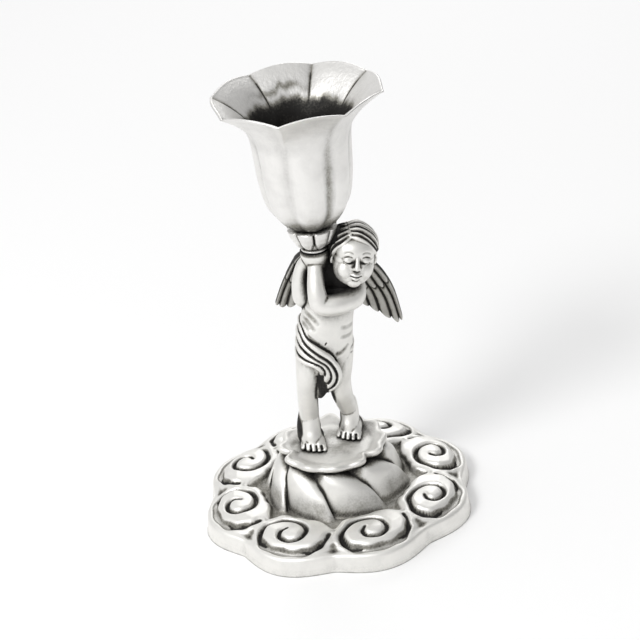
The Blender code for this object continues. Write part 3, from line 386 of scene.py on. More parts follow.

# Amounts of patina and painted shade, and their colours, after the brightest colour and the rubbed
# one
RUBBED = (0.18, 0.80)
TONES = ((0.42, (0.30, 0.29, 0.26)), (0.70, (0.055, 0.052, 0.046)), (1, (0.014, 0.013, 0.012)))
ZINC_TONES = ((0.3, (0.50, 0.51, 0.53)), (0.7, (0.66, 0.67, 0.68)))
GRAIN_HEIGHT = 0.10
BUMP_DEPTH = 0.25

# Brightest colour, roughness, reach of the patina and painted shade round a hollow, darkness,
# upright brushing
METALS = {
    "antique_silver_cast": ((0.88, 0.87, 0.84), 0.50, 3.2, 1.2, 0),
    "antique_silver_plate": ((0.84, 0.83, 0.80), 0.52, 4, 1.2, 0),
    "antique_silver_figure": ((0.86, 0.85, 0.82), 0.50, 5, 1.45, 0),
    "antique_silver_wing": ((0.58, 0.57, 0.54), 0.44, 4, 1.5, 0),
    "antique_silver_cup": ((0.84, 0.83, 0.81), 0.42, 4, 1.1, 0.5),
}


class Nodes:
    """The shader nodes of one material or world."""

    def __init__(self, owner, shader):
        owner.use_nodes = True
        self.tree = owner.node_tree
        self.inputs = self.tree.nodes[shader].inputs

    def put(self, socket, value):
        """Link the socket, or set it where the value is a plain one."""
        if isinstance(value, bpy.types.NodeSocket):
            self.tree.links.new(value, socket)
        else:
            socket.default_value = value

    def feed(self, name, value):
        self.put(self.inputs[name], value)

    def new(self, kind, **inputs):
        node = self.tree.nodes.new(kind)
        for name, value in inputs.items():
            self.put(node.inputs[name], value)
        return node

    def math(self, operation, *values, clamp=False):
        node = self.new("ShaderNodeMath")
        node.operation = operation
        node.use_clamp = clamp
        for socket, value in zip(node.inputs, values):
            self.put(socket, value)
        return node.outputs[0]

    def noise(self, scale, detail, roughness, stretch=(1, 1, 1)):
        """Cloudy noise in the object's own metres, stretched along an axis."""
        place = self.new("ShaderNodeTexCoord").outputs["Object"]
        squeeze = self.new("ShaderNodeMapping", Vector=place, Scale=stretch)
        return self.new("ShaderNodeTexNoise", Vector=squeeze.outputs["Vector"], Scale=scale,
                        Detail=detail, Roughness=roughness).outputs["Fac"]

    def ramp(self, value, stops):
        node = self.new("ShaderNodeValToRGB", Fac=value)
        elements = node.color_ramp.elements
        while len(elements) < len(stops):
            elements.new(0.5)
        for element, (place, colour) in zip(elements, stops):
            element.position = place
            element.color = (*colour, 1.0)
        return node.outputs["Color"]

    def attribute(self, name):
        node = self.new("ShaderNodeAttribute")
        node.attribute_name = name
        return node.outputs["Fac"]


def antique(name, bright, rough, reach, darkness, brush):
    """Antique silver: satin on the high places, warm grey lower down, black in the recesses from
    patina and painted shade.
    """
    material = bpy.data.materials.new(name)
    nodes = Nodes(material, "Principled BSDF")
    # Ambient occlusion paints shade into hollows and under and between parts, on top of the patina
    hollow = nodes.new("ShaderNodeAmbientOcclusion", Distance=reach * MM)
    hollow.samples = 8
    open_share = nodes.math("POWER", hollow.outputs["AO"], 1.4)
    occluded_patina_and_shade = nodes.math("MULTIPLY", nodes.math("SUBTRACT", 1.0, open_share), darkness)
    occluded_patina_and_shade = nodes.math("POWER", occluded_patina_and_shade, 1.5)
    both = nodes.math("MAXIMUM", nodes.attribute("patina_and_shade"), occluded_patina_and_shade)
    cloud = nodes.noise(CLOUD_WAVES, 4.0, 0.6)
    mottle = nodes.math("MULTIPLY_ADD", cloud, 0.7, 0.65)
    grit = nodes.math("MULTIPLY_ADD", nodes.noise(GRIT_WAVES, 3.0, 0.65), 1.1, 0.45)
    soft = nodes.math("MULTIPLY", nodes.math("MULTIPLY", both, mottle), grit)
    worn = nodes.math("MULTIPLY", nodes.attribute("worn"), 0.3)
    amount = nodes.math("SUBTRACT", soft, worn, clamp=True)
    stain = nodes.math("MULTIPLY", nodes.math("SUBTRACT", cloud, 0.42, clamp=True), 0.22)
    amount = nodes.math("ADD", amount, stain, clamp=True)
    place, share = RUBBED
    rubbed = tuple(share * c for c in bright)
    nodes.feed("Base Color", nodes.ramp(amount, ((0.0, bright), (place, rubbed), *TONES)))
    nodes.feed("Metallic", nodes.math("SUBTRACT", 1.0, nodes.math("MULTIPLY", amount, 0.5)))
    grain = nodes.noise(GRAIN_WAVES, 3.0, 0.6)
    uneven = nodes.math("MULTIPLY_ADD", grain, 0.20, rough - 0.10)
    nodes.feed("Roughness", nodes.math("MULTIPLY_ADD", amount, 0.20, uneven))
    height = nodes.math("MULTIPLY", grain, GRAIN_HEIGHT)
    if brush:
        strokes = nodes.noise(BRUSH_WAVES, 2.0, 0.6, (1.0, 1.0, 0.03))
        height = nodes.math("MULTIPLY_ADD", strokes, brush, height)
    bump = nodes.new("ShaderNodeBump", Strength=1.0, Distance=BUMP_DEPTH * MM, Height=height)
    nodes.feed("Normal", bump.outputs["Normal"])
    return material


def plated(name):
    """Zinc plated steel of the hidden screws."""
    material = bpy.data.materials.new(name)
    nodes = Nodes(material, "Principled BSDF")
    nodes.inputs["Metallic"].default_value = 1.0
    cloud = nodes.noise(ZINC_WAVES, 4.0, 0.6)
    nodes.feed("Base Color", nodes.ramp(cloud, ZINC_TONES))
    nodes.feed("Roughness", nodes.math("MULTIPLY_ADD", cloud, 0.25, 0.18))
    return material


# Base

# Groove of one cloud scroll, from its eye outwards: along the rim, away from the axis, half
# width, height of its floor
SCROLL_GROOVE = (
    (-2.3, 26.9, 0.22, 7.2), (-3.5, 28.4, 0.38, 6.4), (-2.9, 30.5, 0.48, 6),
    (0, 31.5, 0.50, 6), (2.5, 30.2, 0.48, 6.1), (3.2, 27.6, 0.46, 6.1),
    (2.2, 24.9, 0.50, 6), (-0.9, 23.2, 0.52, 5.9), (-4.3, 23.2, 0.55, 5.8),
    (-6.9, 24.7, 0.48, 6), (-8.9, 26.6, 0.72, 5.4), (-9.2, 29.4, 0.85, 4.9),
    (-7.6, 32.4, 0.85, 4.4), (-3.6, 34.3, 0.80, 4.1), (1.2, 34.7, 0.78, 4.1),
    (5.3, 33.6, 0.78, 4.2), (8, 31.2, 0.70, 4.8), (9.2, 28.4, 0.52, 5.6),
    (9.3, 25.6, 0.30, 6.5),
)
SCROLL_EYE = (-0.2, 27.6)
EYE_RISE = 0.45
SADDLE_DROP = 0.7
GROOVE_ROUND = 0.9
RING_ROUND = 1.3
# Inner edge of the scroll ring: turn from the scroll's middle in degrees, radius
INNER_EDGE = ((-22.5, 24.2), (-18, 21.2), (-13, 20.1), (-8, 20.4), (-3, 19.9), (3, 20.3),
              (8, 20.1), (13, 21), (18, 22.6), (22.5, 24.2))
# Radius and height of the ring, of the field inside it and of the dome under the leaves
RING_TOP = ((20, 7), (22.5, 7.6), (29, 7.8), (32.5, 7.1), (34.4, 6.1), (35.4, 5.4),
            (36.3, 5), (36.8, 4.85))
FIELD = ((17, 5.7), (20, 5.6), (24, 5.3), (30, 4.6))
DOME = ((4, 16.9), (10.6, 16.9), (12.5, 15.9), (14, 14.7), (16, 12.6), (17.5, 10.8),
        (19, 8.8), (20.5, 7))
FLAT_RADIUS = 10.6
LEAF_SWEEP = math.radians(26.0)
LEAF_BULGE = 2.3
LEAF_REACH = (17.4, 20.3)
LEAF_ROUND = 3.2
SEAM_DEPTH = 1.5
PLATE_ROOM = 15.2
LIP_HEIGHT = 0.35
# Outer wall: radius at a lobe's tip, share of the crest's height
WALL = ((36.85, 0.98), (37.02, 0.93), (37.12, 0.86), (37.18, 0.77), (37.24, 0.67), (37.30, 0.57),
        (37.36, 0.47), (37.42, 0.37), (37.48, 0.27), (37.54, 0.18), (37.62, 0.10), (37.72, 0.045),
        (37.74, 0.01))
FOOT_RADIUS = LOBE_RADIUS - FOOT_WIDTH
# Inside of the dome before the wall's thickness is taken off: radius, height
INNER_DOME = ((19.6, 5.6), (17.35, 10.4), (15.1, 14.05), (12.85, 15.0), (FLAT_RADIUS, DOME_HEIGHT))
# Underside: radius, height, how far it follows the lobes
UNDERSIDE = (
    (37.6, 0, 1), (FOOT_RADIUS + 0.1, 0, 1), (FOOT_RADIUS, 0.1, 1), (FOOT_RADIUS - 0.7, 2.2, 0.9),
    (31.9, 2.2, 0.6), *((radius - CAST_WALL, z - CAST_WALL, 0) for radius, z in INNER_DOME),
    (BOSS_RADIUS, DOME_HEIGHT - CAST_WALL, 0), (BOSS_RADIUS, BOSS_Z, 0),
    (SOCKET_RADIUS, BOSS_Z, 0),
)
# Height of the wall's top, and the heights from which carving and the patina and painted shade
# start
WALL_TOP = 4.75
CARVED_FROM = 4.4
PATINA_AND_SHADE_FROM = 4.3


def lobe_share(angle):
    """0 in a valley of the outline and 1 on the tip of a lobe."""
    return (0.5 - 0.5 * np.cos(LOBES * (angle - BASE_TURN))) ** 0.7


def table(points, value):
    a = np.array(points)
    return np.interp(value, a[:, 0], a[:, 1])


def pillow(distance, reach, power=2.4):
    """Rises from 0 at an edge to 1 at the given reach, round like a cushion."""
    return 1 - (1 - np.clip(distance / reach, 0, 1)) ** power


def base_top(radius, angle, nominal):
    """Height of the base's upper side; nominal is the radius without the lobes."""
    turn = (angle - BASE_TURN) % (TAU / LOBES) - 0.5 * TAU / LOBES
    x = radius * np.sin(turn)
    y = radius * np.cos(turn)
    top = table(RING_TOP, nominal)
    saddle = ease(np.abs(turn), 0.26, 0.39)
    top = top - SADDLE_DROP * saddle * ease(35.0 - radius, 0.0, 4.0)
    top = top + EYE_RISE * np.exp(-((x - SCROLL_EYE[0]) ** 2 + (y - SCROLL_EYE[1]) ** 2) / 7.0)
    groove = curve_through(SCROLL_GROOVE, SPLINE_STEPS)
    near = radius > 21.0
    d = np.full(radius.shape, 9.0)
    along = np.zeros(radius.shape)
    d[near], along[near] = distance_to_line(np.stack([x[near], y[near]], 1), groove[:, :2])
    steps = np.arange(len(groove))
    half = np.interp(along, steps, groove[:, 2])
    floor = np.interp(along, steps, groove[:, 3])
    wave = 0.16 * np.sin(along * 0.9) * ease(along, 50, 60)
    ring = floor + (top - floor) * pillow(d - half * 0.6 + wave, GROOVE_ROUND, 2.8)
    field = table(FIELD, radius)
    inner = table(INNER_EDGE, np.degrees(turn))
    ground = field + np.maximum(ring - field, 0) * pillow(radius - inner, RING_ROUND)
    ground = np.where(radius > inner + RING_ROUND, ring, ground)
    return np.maximum(ground, leaf_top(radius, angle, field))


def leaf_top(radius, angle, field):
    """Height of the swirling leaves on the dome."""
    t = np.clip((radius - 11.5) / 7.5, 0, 1)
    seam = BASE_TURN - LEAF_SWEEP * (1 - t) ** 1.2
    u = (angle - seam) % (TAU / LEAVES) / (TAU / LEAVES)
    end = LEAF_REACH[0] + (LEAF_REACH[1] - LEAF_REACH[0]) * (1 - (1 - u) ** 1.9)
    end = end - 0.9 * ease(u, 0.9, 1.0)
    across = np.clip(u / 0.16, 0, 1) ** 0.6 * (1 - 0.95 * u ** 2.6)
    along = 0.45 + 0.55 * np.sin(math.pi * np.clip((radius - FLAT_RADIUS) / 8.6, 0, 1)) ** 0.8
    body = table(DOME, radius) + (LEAF_BULGE * across - 0.5 * SEAM_DEPTH * (1 - across)) * along
    body = np.where(radius < PLATE_ROOM, np.minimum(body, DOME_HEIGHT - 0.05), body)
    height = field + (body - field) * pillow(end - radius, LEAF_ROUND, 2.0)
    lip = LIP_HEIGHT * np.exp(-((radius - end - 0.3) / 0.22) ** 2) * ease(u, 0.15, 0.4)
    return np.where(radius < end, height, field + lip)


def base_form():
    count = BASE_COLUMNS
    angle = BASE_TURN + turns(count)
    valley = (LOBE_RADIUS - VALLEY_RADIUS) * (1 - lobe_share(angle))
    rings = []
    for nominal in np.concatenate([[SOCKET_RADIUS, 8.0], np.arange(FLAT_RADIUS, 36.65, 0.2)]):
        radius = nominal - valley * ease(nominal, 24.0, 36.0)
        z = base_top(radius, angle, np.full(count, nominal))
        if nominal < FLAT_RADIUS + 0.1:
            z = np.full(count, DOME_HEIGHT)
        rings.append(loop(angle, radius, z))
    crest = z
    for nominal, level in WALL:
        rings.append(loop(angle, nominal - valley, crest * level))
    for nominal, z, follow in UNDERSIDE:
        rings.append(loop(angle, nominal - valley * follow, z))
    form = form_of(rings)
    z = form.v[:, 2]
    r = np.linalg.norm(form.v[:, :2], axis=1)
    form.gather = 1 - 0.85 * (ease(r, 0.0, 0.6) * (z < WALL_TOP) * (r > 33.5))
    form.hold = ease(r, 12.0, 13.0) * (z > CARVED_FROM)
    form.soften(5)
    z = form.v[:, 2]
    low = 1 - ease(z - table(FIELD, r), 0.1, 1.6)
    around = np.arctan2(form.v[:, 1], form.v[:, 0])
    edge = LOBE_RADIUS - (LOBE_RADIUS - VALLEY_RADIUS) * (1 - lobe_share(around))
    # Painted shade on the steep walls of the scroll pads
    steep_wall_shade = (1 - ease(form.normals()[:, 2], 0.25, 0.75)) * (r > 21.5) * (edge - r > 1.8)
    form.gather = form.gather * (1 - 0.6 * low * (r < 24.5))
    ends = ease(r, 15.5, 18.8) * (1 - ease(r, 20.6, 22.0))
    # Painted shadow on the dome under the plate; patina in the low field; leaf ends darker from
    # patina and painted shade
    shadow = 1 - ease(r, 12.8, 15.4)
    base_patina_and_shade = np.maximum(np.maximum(0.36 * low * (r < 23.5), 0.26 * ends), 0.9 * shadow)
    form.dark = np.where(z > PATINA_AND_SHADE_FROM, np.maximum(base_patina_and_shade, 0.55 * steep_wall_shade), 0.0)
    return form


PLATE_COLUMNS = 288
PLATE_WAVES = 12
PLATE_NOTCHES = 3
NOTCH_DEPTH = 1.7
PLATE_DROOP = 0.35
# Share of the edge's radius, height over the underside, and on the upper side over the top
PLATE_UNDER = ((0.62, 0), (0.80, 0), (0.90, 0.05), (0.97, 0.30), (1, 0.85))
PLATE_UPPER = ((0.997, 0.15), (0.965, PLATE_LIP), (0.915, PLATE_LIP), (0.86, 0.22), (0.79, -0.12),
               (0.68, -PLATE_DISH), (0.50, -0.2), (0.25, 0), (0.001, 0))
PLATE_OUTLINE = (*PLATE_UNDER, *((share, PLATE_TOP + z) for share, z in PLATE_UPPER))


def plate_edge(angle):
    angle = angle - NOTCH_TURN
    wave = 0.5 + 0.5 * np.cos(PLATE_WAVES * angle)
    step = TAU / PLATE_NOTCHES
    away = (angle + step / 2) % step - step / 2
    return PLATE_RADIUS - 0.8 * wave - NOTCH_DEPTH * np.exp(-(away / math.radians(7.0)) ** 2)


def plate_form():
    angle = turns(PLATE_COLUMNS)
    rings = [loop(angle, SPIGOT_RADIUS, z) for z in (-SPIGOT_LENGTH, -2.5, 0.0)]
    rings.insert(0, rings[0] * np.array([0.001, 0.001, 1.0]))
    waves = PLATE_DROOP * np.cos(PLATE_WAVES * (angle - NOTCH_TURN))
    for share, z in curve_through(PLATE_OUTLINE, SPLINE_STEPS):
        blend = ease(share, 0.45, 0.95)
        edge = plate_edge(angle) * blend + PLATE_RADIUS * (1 - blend)
        droop = waves * ease(share, 0.85, 1.0)
        rings.append(loop(angle, edge * share, z - np.where(z > 0.2, droop, 0.0)))
    form = form_of(rings)
    around = np.arctan2(form.v[:, 1], form.v[:, 0])
    share = np.linalg.norm(form.v[:, :2], axis=1) / plate_edge(around)
    # Darker towards the middle of the dish; the underside and spigot are painted in shade
    dish = 0.30 * (1 - ease(share, 0.20, 0.84))
    form.dark = np.where(form.v[:, 2] > 0.7, dish, 0.5)
    form.v += (0, 0, PLATE_Z)
    return form


# Figure: heights over the foot plate's underside

TORSO = (
    # height, middle x, half width, half depth, middle y
    (24.5, 0.6, 7, 5, 0.8), (29.5, 0.9, 7.7, 5.6, 0.6), (33, 1.4, 7.5, 5.6, 0.2),
    (37, 2, 7.3, 5.5, -0.2), (41.5, 3.1, 7, 5, 0), (45.5, 4.2, 6.9, 4.7, 0.3),
    (49, 5.4, 6.2, 4.2, 0.6),
)

FOLDS = (
    ((-2, 5.2, 38.6), (-4.1, 2.2, 39.2), (-4, -2, 37.6), (-3, -4.5, 35.2), (-0.4, -6, 32.7),
     (2.1, -6.4, 30.4), (3.7, -6.6, 27.4), (3.9, -6.3, 24.6), (2.7, -5.7, 21.9),
     (0.4, -4.6, 19.8)),
    ((-2.2, 5.2, 36.2), (-4.9, 2, 36.6), (-4.8, -2.2, 34.8), (-3.4, -4.8, 33.4), (-1, -6.3, 31.3),
     (1.3, -6.7, 29), (2.3, -6.8, 26.6), (2.3, -6.4, 24.2), (1.3, -5.6, 22.2), (-0.1, -4.8, 20.8)),
    ((-2.4, 5, 33.8), (-5.3, 1.8, 34), (-5.4, -2.4, 32.2), (-3.9, -4.9, 31.2), (-1.8, -6.3, 30.2),
     (0.3, -6.8, 28.9), (1, -6.5, 26.6), (0.8, -6, 24.6), (0, -5.2, 23)),
    ((-2.6, 4.8, 31.6), (-5.6, 1.6, 31.6), (-5.9, -2.4, 30.2), (-4.3, -4.7, 29.4), (-2.4, -6, 29),
     (-1, -6.5, 28.2), (-0.3, -6.3, 27), (-0.6, -5.8, 25.9)),
    ((-2.2, 5.2, 37), (1.5, 6.2, 35.6), (5.6, 5.8, 33.4), (8.2, 3, 31.2), (8.2, -1.4, 29.8)),
    ((-2.4, 5.2, 34.4), (1.5, 6.4, 33), (5.6, 6, 30.8), (8.4, 3, 28.6)),
    ((-2.6, 5, 31.8), (1.5, 6.2, 30.2), (5.6, 5.8, 28.2), (8, 3.2, 26.2)),
)
FOLD_RADIUS = 0.9
TRUNK_SIDES = 40


def add_trunk(kit):
    rows = np.array(TORSO)
    rings = []
    for z in np.linspace(rows[0, 0], rows[-1, 0], 16):
        x, half, depth, y = (np.interp(z, rows[:, 0], rows[:, k]) for k in range(1, 5))
        ring = loop(turns(TRUNK_SIDES), 1.0, z)
        rings.append(ring * (half, depth, 1.0) + (x, y, 0.0))
    kit.add(rings)


# Each foot's ankle, turn and slant of its toes
FEET = ((np.array([-5.1, 2.2, 0.0]), 0, 1.1),
        (np.array([5.9, 6, 0.0]), math.radians(-14), 0.6))


def foot_frame(ankle, turn):
    out = np.array([math.sin(turn), -math.cos(turn), 0.0])
    side = np.array([math.cos(turn), math.sin(turn), 0.0])
    return out, side, np.array([0, 0, 1.0]), ankle + out * 3.6


def toe_line(ankle, turn, slant, share):
    """Root and tip of a toe, or of a gap between toes; share runs from -1 to 1 over the foot."""
    out, side, up, front = foot_frame(ankle, turn)
    start = front + side * share * 2.6 + out * (share * slant + 0.2 - 0.7 * share ** 2) + up * 2.3
    return start, start + out * 2.3 + side * share * 0.3 - up * 0.45


def foot_gaps(ankle, turn, slant):
    lines = []
    for k in range(4):
        start, end = toe_line(ankle, turn, slant, (k - 1.5) / 2)
        middle = 0.4 * start + 0.6 * end
        lines.append([middle + (0, 0, 0.9), end + (0, 0, 0.4), end - (0, 0, 1.0)])
    return lines


def add_foot(kit, ankle, turn, slant):
    out, side, up, front = foot_frame(ankle, turn)
    kit.ball(ankle + up * 3.1, (3.2, 3.1, 2.6))
    kit.limb([ankle + out * 0.7 + up * 10.5, ankle + out * 1.0 + up * 7.6,
              ankle + out * 1.7 + up * 5.4, ankle + out * 2.7 + up * 3.8, front + up * 2.6],
             (2.3, 2.6, 2.6, 2.5, 2.0))
    for lane in (-1, 1):
        kit.limb([ankle + out * 0.8 + side * lane * 0.7 + up * 4.0,
                  ankle + out * 2.4 + side * lane * 1.1 + up * 3.0,
                  front + side * lane * 1.5 + out * lane * 0.6 * slant + up * 2.2],
                 (2.2, 2.2, 1.7))
    kit.ball(front - out * 0.4 + up * 2.1, (3.2, 2.9, 1.8))
    for toe in range(5):
        start, end = toe_line(ankle, turn, slant, (toe - 2) / 2)
        kit.limb([start, end], (0.85, 0.62), steps=3, sides=12)
        kit.ball(end + up * 0.05, (0.72, 0.80, 0.64), sides=12)


def add_legs(kit):
    kit.limb([(-2.4, 0.8, 29), (-3.6, -0.4, 24.5), (-4.6, -0.4, 20), (-5, 0.3, 16),
              (-5.2, 1.4, 11), (-5.2, 2.2, 7.5), (-5.1, 2.4, 5)],
             (4.6, 3.7, 3, 2.8, 2.7, 2.6, 2.5))
    kit.limb([(4.3, 1, 29), (4.2, 0.4, 24.5), (4, 0.6, 20), (4.2, 1.2, 16),
              (4.8, 3, 12), (5.6, 5.2, 8), (5.9, 6, 5)],
             (4.5, 3.8, 3.1, 2.9, 2.6, 2.4, 2.4))
    kit.limb([(-5.5, 1.6, 11.5), (-6.5, 2.7, 6.8), (-6.8, 3, 2.8)], (2.3, 2.4, 2.4))
    kit.limb([(0.5, -2.4, 23), (-0.4, -2.2, 20.2), (-1.6, -1.4, 17.4)], (2.2, 1.8, 1.2))
    for foot in FEET:
        add_foot(kit, *foot)


# The closed hands under the cup: share of their radius, depth under their top
HAND_PROFILE = (
    (0.45, 6.6), (0.55, 6.1), (0.62, 5.6), (0.68, 4.8), (0.74, 4), (0.82, 3.2), (0.91, 2.4),
    (0.98, 1.8), (1, 1.2), (1, 0.2), (1, -1),
)


def add_arms(kit):
    hands = np.array([CUP_X, CUP_Y, HAND_TOP])
    kit.limb([(10.4, 0.4, 47), (10, -3.6, 46), (5.6, -6.6, 45.9), (1.6, -7, 46.7),
              (0.8, -6.4, 50.5), (1.2, -4.2, 55), hands - (0, 0.9, 3)],
             (3.4, 3.1, 2.85, 2.75, 2.4, 2.1, 2.3))
    kit.limb([(1.6, 1.2, 48), (-1.6, 1.6, 45.6), (-3.2, 0.6, 45.6), (-3.1, 0.2, 50),
              (-1.9, -0.4, 55), hands - (1.4, -0.6, 3)], (3.2, 2.9, 2.4, 2.3, 1.9, 2))
    kit.add([loop(turns(36), HAND_RADIUS * share, HAND_TOP - down, CUP_X, CUP_Y)
             for share, down in HAND_PROFILE])


# Middle and outward direction of the wings' seats on the shoulder blades
WING_SEATS = {
    1: (np.array([8.6, 4.4, 46.6]), np.array([0.350, 0.931, 0.100])),
    -1: (np.array([0.8, 4.6, 47.6]), np.array([-0.350, 0.931, 0.100])),
}


def body_form():
    kit = Kit()
    add_trunk(kit)
    add_legs(kit)
    add_arms(kit)
    for fold in FOLDS:
        radii = [FOLD_RADIUS] * len(fold)
        radii[0] = 0.7 * FOLD_RADIUS
        radii[-1] = 0.6 * FOLD_RADIUS
        kit.limb(fold, radii, sides=14)
    kit.ball((0.9, -2.3, 24.0), (2.7, 2.8, 5.2))
    for middle, out in WING_SEATS.values():
        kit.limb([middle - out * 4.6, middle - out * 2.75], (2.9, 2.9), steps=2)
    form = kit.fuse(BODY_VOXEL, 4)
    low = form.v[:, 2] < 1.5
    form.v[low, 2] = np.maximum(form.v[low, 2], 0.7)
    form.v[:, 2] = np.minimum(form.v[:, 2], HAND_TOP)
    return form


# Grooves of the figure: width, depth, darkness, points
BODY_LINES = (
    (1.15, 0.20, 0.34,
     ((-3.2, -1.2, 43), (-2.2, -3.2, 42.2), (-0.9, -4.6, 40.9), (0.3, -5.2, 39.4))),
    (1.15, 0.20, 0.34,
     ((-3.7, -1, 41.4), (-2.8, -3.3, 40.6), (-1.8, -4.6, 39.2), (-0.9, -5.2, 37.8))),
    (1.10, 0.20, 0.30, ((-3.9, -1.2, 39.8), (-3.2, -3.2, 39.2), (-2.4, -4.4, 38))),
    (1.10, 0.12, 0.24, ((5.7, -4.9, 38.2), (7.4, -3.5, 37.6), (9, -0.4, 37.6))),
    (1.10, 0.12, 0.24, ((5.4, -4.9, 35.4), (7.2, -3.5, 34.9), (9, -0.3, 35.1))),
    (1.10, 0.22, 0.34, ((3.9, -6.7, 30.5), (5.7, -5, 30.3), (7.8, -2.9, 32.4))),
    (0.55, 0.50, 1, ((1.35, -5.5, 34.35), (1.65, -5.5, 34.15))),
    (1.00, 0.25, 0.55, ((0.1, -7, 44.2), (3, -6, 43.6), (7, -5, 43.2), (9.6, -2, 43.6))),
)
# Places darkened by settled patina and painted shade, where parts of the figure meet and overhang:
# middle, reach, darkness
BODY_HOLLOWS = (
    ((5, -1.5, 51.5), (5, 6, 7), 1.6), ((-0.6, -1.6, 50), (2.2, 4, 7), 1.3),
    ((-0.3, -2.6, 21.6), (2.1, 4.6, 6.6), 2.2), ((-1.6, 0, 14), (1.3, 6, 11), 1.1),
    ((1.4, 0, 15), (1.4, 5, 5), 1), ((-8.6, 3.2, 5), (2.9, 4.6, 8.8), 1.6),
    ((-2, 2.4, 4.8), (1.5, 4.2, 5), 1.2), ((2.8, 6.4, 5.4), (1.7, 4.4, 6), 1.2),
    ((9, 7.4, 5), (1.9, 4.2, 6.5), 0.9), ((6.2, 8.8, 6), (4.4, 3, 8), 0.7),
    ((-5, 6.4, 6), (4.4, 3, 8), 0.7), ((CUP_X, CUP_Y, 60.4), (5.5, 5.5, 2.2), 1.4),
    ((8.6, -1.6, 45.6), (3, 2.6, 2.4), 0.4),
)


def trunk_axis(line):
    """Points on the trunk's middle at the heights of a line."""
    rows = np.array(TORSO)
    x = np.interp(line[:, 2], rows[:, 0], rows[:, 1])
    return np.stack([x, np.full(len(line), 0.4), line[:, 2]], 1)


def moved(points, step):
    return [np.array(p) + step for p in points]


def carve_body(form):
    for first, second in zip(FOLDS[:3], FOLDS[1:4]):
        line = [(np.array(a) + np.array(b)) / 2 for a, b in list(zip(first, second))[1:]]
        form.carve(line, 0.52, 0.42, 1.0, 0.12, trunk_axis)
    edge = moved(FOLDS[0][1:5], (0.25, 0.1, 1.0)) + moved(FOLDS[0][5:8], (1.1, 0.2, 0.1))
    form.carve(edge, 0.48, 0.25, 0.85, 0.2, trunk_axis)
    form.carve(moved(FOLDS[3][1:5], (-0.2, 0.0, -1.1)), 0.48, 0.25, 0.8, 0.2, trunk_axis)
    for foot in FEET:
        for line in foot_gaps(*foot):
            form.carve(line, 0.42, 0.40, 1.0, 0.1)
    for width, depth, dark, points in BODY_LINES:
        form.carve(points, width, depth, dark, 0.3)
    for middle, reach, amount in BODY_HOLLOWS:
        form.shade(middle, reach, amount)
    # Painted contact shade round the feet, low over the plate
    form.dark = np.maximum(form.dark, 0.9 * (1 - ease(form.v[:, 2], 1.2, 2.2)))
    form.soften(1, 0.3)
    form.v += (0, 0, PLATE_Z)


# Head

def head_frame():
    lean = Matrix.Rotation(HEAD_LEAN, 3, "Y")
    nod = Matrix.Rotation(HEAD_NOD, 3, "X")
    turn = Matrix.Rotation(HEAD_TURN, 3, "Z")
    return np.array(lean @ turn @ nod)


SPIN = head_frame()


def in_head(x, y, z):
    """A point given as shares of half the head's breadth, depth and length."""
    return HEAD_AT + SPIN @ (np.array([x, y, z]) * HEAD_HALF)


def in_head_line(points):
    return [in_head(*p) for p in points]


HAIR_MIDDLE = np.array([0.0, 0.20, 0.28])
HAIR_SIZE = np.array([0.90, 0.86, 0.70])
LOCK_BEHIND = ((0.30, 0.60, 0.93), (0.62, 0.80, 0.66), (0.80, 0.88, 0.30), (0.84, 0.84, -0.05),
               (0.74, 0.78, -0.42))
# Wave, front course and back course of each group of locks
HAIR_COURSES = (
    (1, ((-0.30, -0.64, 0.82), (0.05, -0.78, 0.74), (0.42, -0.72, 0.60), (0.72, -0.52, 0.42),
           (0.92, -0.22, 0.20), (0.96, 0.05, -0.05)),
     ((-0.24, 0.55, 0.95), (0.20, 0.72, 0.90), (0.55, 0.85, 0.60), (0.75, 0.85, 0.25),
      (0.80, 0.80, -0.10), (0.72, 0.75, -0.45))),
    (-1, ((-0.36, -0.64, 0.80), (-0.62, -0.58, 0.60), (-0.82, -0.42, 0.34), (-0.94, -0.18, 0.05),
            (-0.92, 0, -0.30)),
     ((-0.30, 0.55, 0.92), (-0.60, 0.75, 0.65), (-0.75, 0.85, 0.30), (-0.80, 0.80, -0.08),
      (-0.70, 0.75, -0.45))),
    (1, LOCK_BEHIND, tuple((-x, y, z) for x, y, z in LOCK_BEHIND)),
)
HAIR_LOCKS = 7
# Place between two locks, width, depth, darkness and fade of the grooves
HAIR_GROOVES = ((0.5, 0.62, 0.45, 1, 0.25), (0.2, 0.26, 0.12, 0.45, 0.35),
                (0.8, 0.26, 0.12, 0.45, 0.35))


def hair_line(front, back, share, wave, out=1.0):
    """The line of one lock between the front and the back course of the hair."""
    points = []
    count = len(front)
    for i, (a, b) in enumerate(zip(front, back)):
        point = np.array(a) * (1 - share) + np.array(b) * share
        way = (point - HAIR_MIDDLE) / HAIR_SIZE
        way[2] += wave * math.sin(math.pi * 2.2 * i / (count - 1) + 2.4 * share) * 0.10
        points.append(HAIR_MIDDLE + out * way / np.linalg.norm(way) * HAIR_SIZE)
    return in_head_line(points)


def add_hair(kit):
    for wave, front, back in HAIR_COURSES:
        for share in np.arange(HAIR_LOCKS) / (HAIR_LOCKS - 1):
            line = hair_line(front, back, share, wave)
            radii = [0.55] + [1.0] * (len(line) - 2) + [0.45]
            kit.limb(line, radii, steps=7, sides=16)


def hair_axis(line):
    """The middle of the hair for each point of a line."""
    return np.repeat([in_head(*HAIR_MIDDLE)], len(line), 0)


def carve_hair(form):
    for wave, front, back in HAIR_COURSES:
        for lock in range(HAIR_LOCKS - 1):
            for between, width, depth, dark, fade in HAIR_GROOVES:
                share = (lock + between) / (HAIR_LOCKS - 1)
                line = hair_line(front, back, share, wave, 1.1)
                form.carve(line, width, depth, dark, fade, hair_axis)


